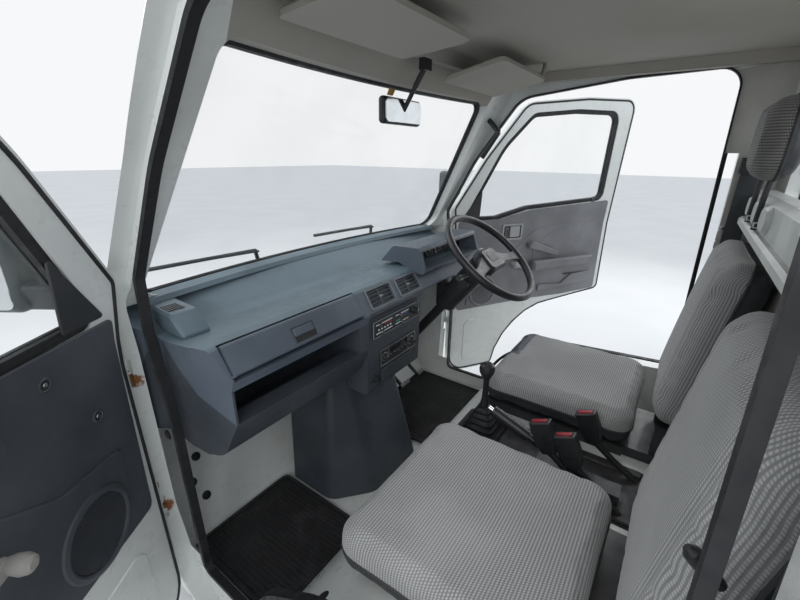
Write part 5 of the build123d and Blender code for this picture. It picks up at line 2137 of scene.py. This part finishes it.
@dataclass
class SteeringWheel:
    """The two-spoked wheel: round rim, broad pad and tapering spokes.

    A spoke's sections are rows of its place out from the hub, half its width, and its low and high side.
    """

    centre: Point = (-316.0, 563.0, 729.0)
    tilt: float = 38.8
    rim: float = 177.0
    thick: float = 12.5
    spokes: tuple[float, float] = (14.0, 166.0)
    spoke_sections: tuple[tuple[float, float, float, float], ...] = (
        (44.0, 27.0, -24.0, -4.0), (80.0, 21.0, -20.0, -4.0), (120.0, 17.0, -14.0, -2.0),
        (150.0, 19.0, -9.0, 2.0), (178.0, 30.0, -7.0, 5.0),
    )
    pad: tuple[Point, ...] = (
        (-50.0, -38.0, 24.0), (50.0, -38.0, 24.0), (66.0, 54.0, 26.0), (-66.0, 54.0, 26.0),
    )
    inner_pad: tuple[Point, ...] = (
        (-24.0, -16.0, 8.0), (24.0, -16.0, 8.0), (30.0, 22.0, 8.0), (-30.0, 22.0, 8.0),
    )

    def build(self) -> None:
        """Make the wheel in its own tilted plane."""
        tilt = radians(self.tilt)
        out = Vector((0, sin(tilt), cos(tilt)))
        across = Vector((1, 0, 0))
        p = Panel(at(*self.centre), across, out.cross(across), out)
        bm = bmesh.new()
        path = [p.point(a, b) for a, b in circle(0.0, 0.0, self.rim, 72)]
        add_tube(bm, path, self.thick * MM, 16, closed=True)
        p.lathe(bm, 0, 0, ((0, -50), (40, -50), (46, -40), (46, -10), (30, -6), (0, -6)), 36)
        slab(bm, p, rounded(self.pad, 6), (-30.0, 3.0), 10.0)
        slab(bm, p, rounded(self.inner_pad), (1.0, 4.2), 1.4, 1)
        for angle in self.spokes:
            way = Vector((cos(radians(angle)), sin(radians(angle))))
            side = Vector((-way.y, way.x))
            rings = []
            for reach, width, low, high in self.spoke_sections:
                spot = way * reach
                middle = (low + high) / 2
                corners = rounded_rectangle(2 * width, high - low, min(5.0, (high - low) * 0.4), 3)
                places = [(spot.x + side.x * a, spot.y + side.y * a, middle + c) for a, c in corners]
                rings.append([p.point(*place) for place in places])
            add_loft(bm, rings)
        finish_piece("wheel", bm, Body.WHEEL, "black_plastic", "black", "charcoal",
                     replaced=("steering_wheel",))


@dataclass
class Levers:
    """The gear lever in its boot, the handbrake's grip, the belt buckles and the belts' tongues."""

    gear: Span = (-30.0, 700.0)
    platform_z: float = 262.0
    folds: int = 5
    grip: tuple[Point, Point] = ((25.0, 850.0, 348.0), (25.0, 748.0, 386.0))
    buckles: tuple[Point, ...] = ((70.0, 900.0, 420.0), (70.0, 960.0, 408.0), (-72.0, 980.0, 396.0))
    buckle_tilt: float = 24.0
    buckle: tuple[Point, ...] = (
        (-17.0, -44.0, 8.0), (17.0, -44.0, 8.0), (26.0, -10.0, 12.0), (26.0, 43.0, 4.0), (-26.0, 43.0, 4.0),
        (-26.0, -10.0, 12.0),
    )
    tongues: tuple[tuple[int, float], ...] = ((-1, 822.0), (1, 640.0))

    def build_gear(self) -> None:
        """Make the bellows, the rod and the knob."""
        x, y = self.gear
        floor = facing_up(x, y, self.platform_z)
        bm = bmesh.new()
        floor.plate(bm, (-66, 66), (-62, 62), (0.4, 11), 14.0, 5.0)
        rings = []
        for k in range(self.folds * 4 + 1):
            share = k / (self.folds * 4)
            ripple = 5.5 * sin(tau * k / 4 + 0.6)
            width = 102 - 72 * share + ripple
            fold = rounded_rectangle(width, width, width * 0.24, 4)
            rings.append([floor.point(a, b, 8 + 82 * share) for a, b in fold])
        add_loft(bm, rings)
        floor.lathe(bm, 0, -1, ((0, 84), (14, 84), (11, 104), (9, 112), (8, 150), (8.5, 182), (0, 182)), 20)
        knob = ((0, 180), (11, 181), (15, 190), (21, 202), (22.5, 214), (20, 224), (13, 229), (0, 230))
        floor.lathe(bm, 0, -2, knob, 32, 1)
        floor.lathe(bm, 0, -2, ((0, 229.4), (12, 229.4), (11, 231), (0, 231.4)), 24, 2)
        finish_piece("gear_shift", bm, Body.CAB, "seal_rubber", "seal", "black", "black_gloss",
                     replaced=("gear_lever",))

    def build_brake(self) -> None:
        """Make the handbrake grip's ribs and its push button."""
        low, high = (at(*point) for point in self.grip)
        way = (high - low).normalized()
        bm = bmesh.new()
        add_tube(bm, [high - way * 0.002, high + way * 0.014], 0.0062, 14)
        finish_piece("brake_button", bm, Body.CAB, "black_plastic", "chrome")
        seed = bmesh.new()
        turn = Vector((0, 0, 1)).rotation_difference(way).to_matrix().to_4x4()
        bmesh.ops.create_cone(seed, segments=18, radius1=0.0162, radius2=0.0162, depth=0.0034, cap_ends=True)
        bmesh.ops.transform(seed, matrix=turn, verts=seed.verts)
        ribs = ROWS.make("brake_ribs", seed, 8, "black", Matrix.Translation(low + way * 0.022),
                         Step=way * 0.0098)
        seat_on(ribs, Body.CAB, "black_plastic")

    def build_buckles(self) -> None:
        """Make the three tapered buckles with their red press bars."""
        bm = bmesh.new()
        tilt = radians(self.buckle_tilt)
        up = Vector((0, -sin(tilt), cos(tilt)))
        for x, y, z in self.buckles:
            p = Panel(at(x, y, z - 20), Vector((0, cos(tilt), sin(tilt))), up, Vector((1, 0, 0)))
            slab(bm, p, rounded(self.buckle), (-11.5, 11.5), 3.0)
            p.box(bm, (-19, 19), (41, 46), (-5, 7), 1.2, 1)
            for v in (-14.0, 4.0):
                p.lathe(bm, 0, v, ((0, 11), (2.6, 11), (2.2, 12.4), (0, 12.6)), 10, 2)
            base = at(x, y + 130, self.platform_z + 1)
            add_tube(bm, [base, at(x, y + 70, z - 96), p.point(0, -40, 0)], 0.0085, 10)
        finish_piece("buckles", bm, Body.CAB, "black_plastic", "black", "red", "black_gloss",
                     replaced=("belt_buckles",))

    def build_tongues(self) -> None:
        """Make each belt's steel tongue and its black stop."""
        bm = bmesh.new()
        for side, height in self.tongues:
            p = facing_side(side * 612, 1190, height, -side)
            p.frame(bm, (-30, 34), (-14, 22), (0, 3), 8.0, 8.0)
            p.plate(bm, (-30, -2), (-36, -12), (0, 2.6), 5.0, 0.8)
            p.box(bm, (-26, 26), (20, 34), (-2, 5), 3.0, 1)
        finish_piece("belt_tongues", bm, Body.CAB, "black_plastic", "steel", "black")

    def build(self) -> None:
        """Make the levers and the belts' hardware."""
        self.build_gear()
        self.build_brake()
        self.build_buckles()
        self.build_tongues()


@dataclass
class Roof:
    """The sun visors on their rods, the interior mirror's glass and the blank label on the screen."""

    visor_t: float = 13.0
    visor_rod: float = 6.8
    hangers: tuple[float, ...] = (400.0, -400.0)
    mirror_y: float = 386.0
    mirror: tuple[Span, Span] = ((-127.0, 39.0), (1129.0, 1186.0))
    label_at: Point = (-45.0, 334.0, 1202.0)

    def visor(self, bm: bmesh.types.BMesh, x: Span, low: Span, high: Span) -> None:
        """Add one padded visor on its rod.

        Args:
            bm: The mesh to add to.
            x: Its low and high place across.
            low: The y and z of its front edge.
            high: The y and z of its rear edge.
        """
        start, end = at(0, *low), at(0, *high)
        up = (end - start).normalized()
        long = (end - start).length / MM
        p = Panel(start, Vector((1, 0, 0)), up, Vector((1, 0, 0)).cross(up))
        outline = rounded(((x[0], 0, 14), (x[1], 0, 14), (x[1], long, 26), (x[0], long, 26)), 6)
        slab(bm, p, outline, (-self.visor_t, 0.0), 4.0)
        rod = [p.point(u, long - 14, -self.visor_t / 2) for u in (x[0] + 8, x[1] - 8)]
        add_tube(bm, rod, self.visor_rod * MM, 10)

    def build(self) -> None:
        """Make the roof's fittings."""
        bm = bmesh.new()
        self.visor(bm, (92.0, 440.0), (474.0, 1262.0), (646.0, 1276.0))
        self.visor(bm, (-440.0, -96.0), (470.0, 1242.0), (636.0, 1276.0))
        for x in self.hangers:
            add_tube(bm, [at(x, 634, 1268), at(x, 640, 1290), at(x, 640, 1304)], 0.0055, 10, index=1)
        finish_piece("visors", bm, Body.CAB, "roof_lining", "beige", "tab_grey", replaced=("sun_visors",))
        bm = bmesh.new()
        facing_rear(self.mirror_y).plate(bm, *self.mirror, (-0.4, 1.6), 12.0, 0.8)
        finish_piece("mirror_glass", bm, Body.CAB, "black_plastic", "mirror")
        slope = Vector((0, 0.508, 0.861))
        label = Panel(at(*self.label_at), Vector((1, 0, 0)), slope, Vector((0, 0.861, -0.508)))
        bm = bmesh.new()
        label.plate(bm, (-14, 14), (0, 40), (2.0, 2.8), 3.0, 0.2)
        finish_piece("screen_label", bm, Body.CAB, "clear_glass", "amber")


@dataclass
class Footwell:
    """The ribbed mats, the plugs in the white panels, the platform's cover and the pedals' rubbers.

    A pedal's row holds its name, its place across and its width.
    """

    mats: tuple[tuple[Span, Span], ...] = (
        ((275.0, 600.0), (134.0, 493.0)), ((-590.0, -130.0), (134.0, 493.0)),
    )
    mat_top: float = 9.0
    rib_pitch: float = 13.0
    border: float = 26.0
    toe_plugs: tuple[Span, ...] = ((540.0, 34.0), (520.0, -22.0), (505.0, 96.0))
    platform_z: float = 262.0
    pedals: tuple[tuple[str, float, float], ...] = (
        ("clutch", -184.0, 60.0), ("brake", -268.0, 60.0), ("throttle", -388.0, 42.0),
    )
    pedal_tilt: float = -38.0

    def build_mats(self) -> None:
        """Make each mat's raised border and its ribs."""
        top = facing_up(0, 0, self.mat_top)
        for number, (x, y) in enumerate(self.mats):
            bm = bmesh.new()
            top.frame(bm, (x[0] + 2, x[1] - 2), (y[0] + 2, y[1] - 2), (-1, 5), 9.0, 22.0)
            top.frame(bm, (x[0] + 18, x[1] - 18), (y[0] + 18, y[1] - 18), (-1, 3), 4.0, 12.0)
            finish_piece(f"mat_border_{number}", bm, Body.CAB, "seal_rubber", "mat")
            inner = (x[0] + self.border, x[1] - self.border)
            count = int((inner[1] - inner[0]) / self.rib_pitch)
            seed = small_box((5.0, y[1] - y[0] - 2 * self.border, 4.0), (0, 0, 1.0))
            spot = at(inner[0] + self.rib_pitch / 2, (y[0] + y[1]) / 2, self.mat_top)
            ribs = ROWS.make(f"mat_ribs_{number}", seed, count, "mat", Matrix.Translation(spot),
                             Step=Vector((self.rib_pitch * MM, 0, 0)))
            seat_on(ribs, Body.CAB, "seal_rubber")

    def build_plugs(self) -> None:
        """Make the black plugs in the toe board, the wheel house and the hinge pillar."""
        bm = bmesh.new()
        button = ((0, -1), (13, -1), (13, 1.0), (10, 2.6), (0, 3.2))
        toe = Vector((0, 0.889, 0.457))
        slope = Panel(at(0, 66, 106), Vector((1, 0, 0)), Vector((0, -0.457, 0.889)), toe)
        for u, v in self.toe_plugs:
            slope.lathe(bm, u, v, button, 20)
        crown = Vector((0, -0.574, 0.819))
        house = Panel(at(520, 640, 226), Vector((1, 0, 0)), Vector((0, 0.819, 0.574)), crown)
        house.lathe(bm, 60, 0, button, 24)
        pillar = facing_side(635, 0, 0)
        pillar.lathe(bm, 226, 455, ((0, -1), (12, -1), (12, 1.4), (9, 3.0), (0, 3.4)), 22)
        finish_piece("panel_plugs", bm, Body.CAB, "seal_rubber", "seal")

    def build_cover(self) -> None:
        """Make the black cover on the platform between the seats."""
        top = facing_up(0, 0, self.platform_z)
        bm = bmesh.new()
        top.plate(bm, (-116, 98), (628, 1130), (-0.5, 2.4), 14.0, 1.5)
        top.plate(bm, (-112, -82), (770, 1120), (1.5, 9.0), 8.0, 4.0)
        top.plate(bm, (60, 92), (770, 1120), (1.5, 9.0), 8.0, 4.0)
        finish_piece("platform_cover", bm, Body.CAB, "seal_rubber", "mat")

    def build_pedals(self) -> None:
        """Make the ribbed rubbers on the pedal pads."""
        tilt = Matrix.Rotation(radians(self.pedal_tilt), 4, "X")
        for name, x, width in self.pedals:
            seed = small_box((width, 3.2, 4.0), (0, 7.4, -24))
            ribs = ROWS.make(f"{name}_ribs", seed, 7, "seal", Matrix.Translation(at(x, 236, 118)) @ tilt,
                             Step=Vector((0, 0, 0.008)))
            seat_on(ribs, Body.CAB, "black_plastic")

    def build(self) -> None:
        """Make the footwell's pieces."""
        self.build_mats()
        self.build_plugs()
        self.build_cover()
        self.build_pedals()


@dataclass
class Outside:
    """The nose's grille and lamps, the wiper blades and the back panel's ribs."""

    lamp: tuple[Span, Span] = ((412.0, 600.0), (300.0, 420.0))
    indicator_z: Span = (254.0, 282.0)
    grille: tuple[Span, Span] = ((-396.0, 396.0), (318.0, 402.0))
    slat: tuple[Span, Span] = ((-392.0, 392.0), (324.0, 331.0))
    slats: int = 5
    slat_step: float = 16.5
    lens_ribs: int = 19
    lens_step: float = 9.0
    wipers: tuple[float, ...] = (-330.0, 210.0)
    back_y: float = 1310.0
    back_rib: tuple[Span, Span] = ((-520.0, -484.0), (180.0, 830.0))
    back_ribs: int = 8
    back_step: float = 143.5

    def nose_y(self, x: float) -> float:
        """The nose's surface at the lamps' height."""
        return -60.0 + 28.0 * (x / 600.0) ** 2

    def strip(self, bm: bmesh.types.BMesh, x: Span, z: Span, depth: Span, index: int = 0) -> None:
        """Add a bar that follows the nose's curve.

        Args:
            bm: The mesh to add to.
            x: Its low and high place across.
            z: Its low and high height.
            depth: How far its back and its face stand out from the nose.
            index: The faces' material index.
        """
        rings = []
        for k in range(13):
            u = x[0] + (x[1] - x[0]) * k / 12
            y = self.nose_y(u)
            corners = ((y - depth[1], z[0]), (y - depth[1], z[1]), (y - depth[0], z[1]), (y - depth[0], z[0]))
            rings.append([at(u, b, c) for b, c in corners])
        add_loft(bm, rings, index)

    def build_front(self) -> None:
        """Make the grille, the lamp frames, the lens ribs and the indicators."""
        bm = bmesh.new()
        self.strip(bm, *self.grille, (-1, 2), 1)
        finish_piece("grille_back", bm, Body.CAB, "black_plastic", "black", "black")
        seed = bmesh.new()
        self.strip(seed, *self.slat, (1, 9))
        slats = ROWS.make("grille_slats", seed, self.slats, "black", Step=Vector((0, 0, self.slat_step * MM)))
        seat_on(slats, Body.CAB, "black_plastic")
        for side in (-1, 1):
            label = "left" if side < 0 else "right"
            (x0, x1), (z0, z1) = self.lamp
            face = facing_front(self.nose_y((x0 + x1) / 2) - 5, 0, side)
            bm = bmesh.new()
            face.frame(bm, (x0 - 8, x1 + 4), (z0 - 7, z1 + 7), (-22, 4), 8.0, 10.0)
            face.box(bm, (x0 - 4, x1), self.indicator_z, (-20, 2), 4.0, 1)
            finish_piece(f"lamp_frame_{label}", bm, Body.CAB, "black_plastic", "black", "indicator")
            seed = small_box((3.0, 3.0, z1 - z0 - 14))
            start = at(side * (x0 + 12), self.nose_y(x0 + 12) - 6.4, (z0 + z1) / 2)
            rise = (self.nose_y(x1) - self.nose_y(x0)) / (x1 - x0)
            step = Vector((side, rise, 0)) * self.lens_step * MM
            ribs = ROWS.make(f"lens_ribs_{label}", seed, self.lens_ribs, "lamp_glass",
                             Matrix.Translation(start), Step=step)
            seat_on(ribs, Body.CAB, "lamp_glass")

    def build_wipers(self) -> None:
        """Make the rubber blades on the wiper arms."""
        bm = bmesh.new()
        for x in self.wipers:
            path = [at(x + 20, 56, 774), at(x + 180, 62, 784), at(x + 352, 76, 790)]
            add_tube(bm, path, (0.003, 0.005, 0.003), 8)
        finish_piece("wiper_blades", bm, Body.CAB, "seal_rubber", "seal")

    def build_back(self) -> None:
        """Make the pressed ribs of the back panel."""
        seed = bmesh.new()
        facing_rear(self.back_y).plate(seed, *self.back_rib, (-2, 5), 16.0, 4.0)
        ribs = ROWS.make("back_ribs", seed, self.back_ribs, "body_white",
                         Step=Vector((self.back_step * MM, 0, 0)))
        seat_on(ribs, Body.CAB, "body_paint")

    def build(self) -> None:
        """Make the outside's pieces."""
        self.build_front()
        self.build_wipers()
        self.build_back()


def main() -> None:
    """Build the scene piece by piece."""
    logging.basicConfig(level=logging.INFO)
    parts = (
        Studio(), CarriedNodes(), Dashboard(), Instruments(), Console(), SteeringWheel(), Levers(), Roof(),
        Footwell(), Doors(), Outside(), Seats(),
    )
    for part in parts:
        part.build()
        log.info("built %s", type(part).__name__)


if __name__ == "__main__":
    main()
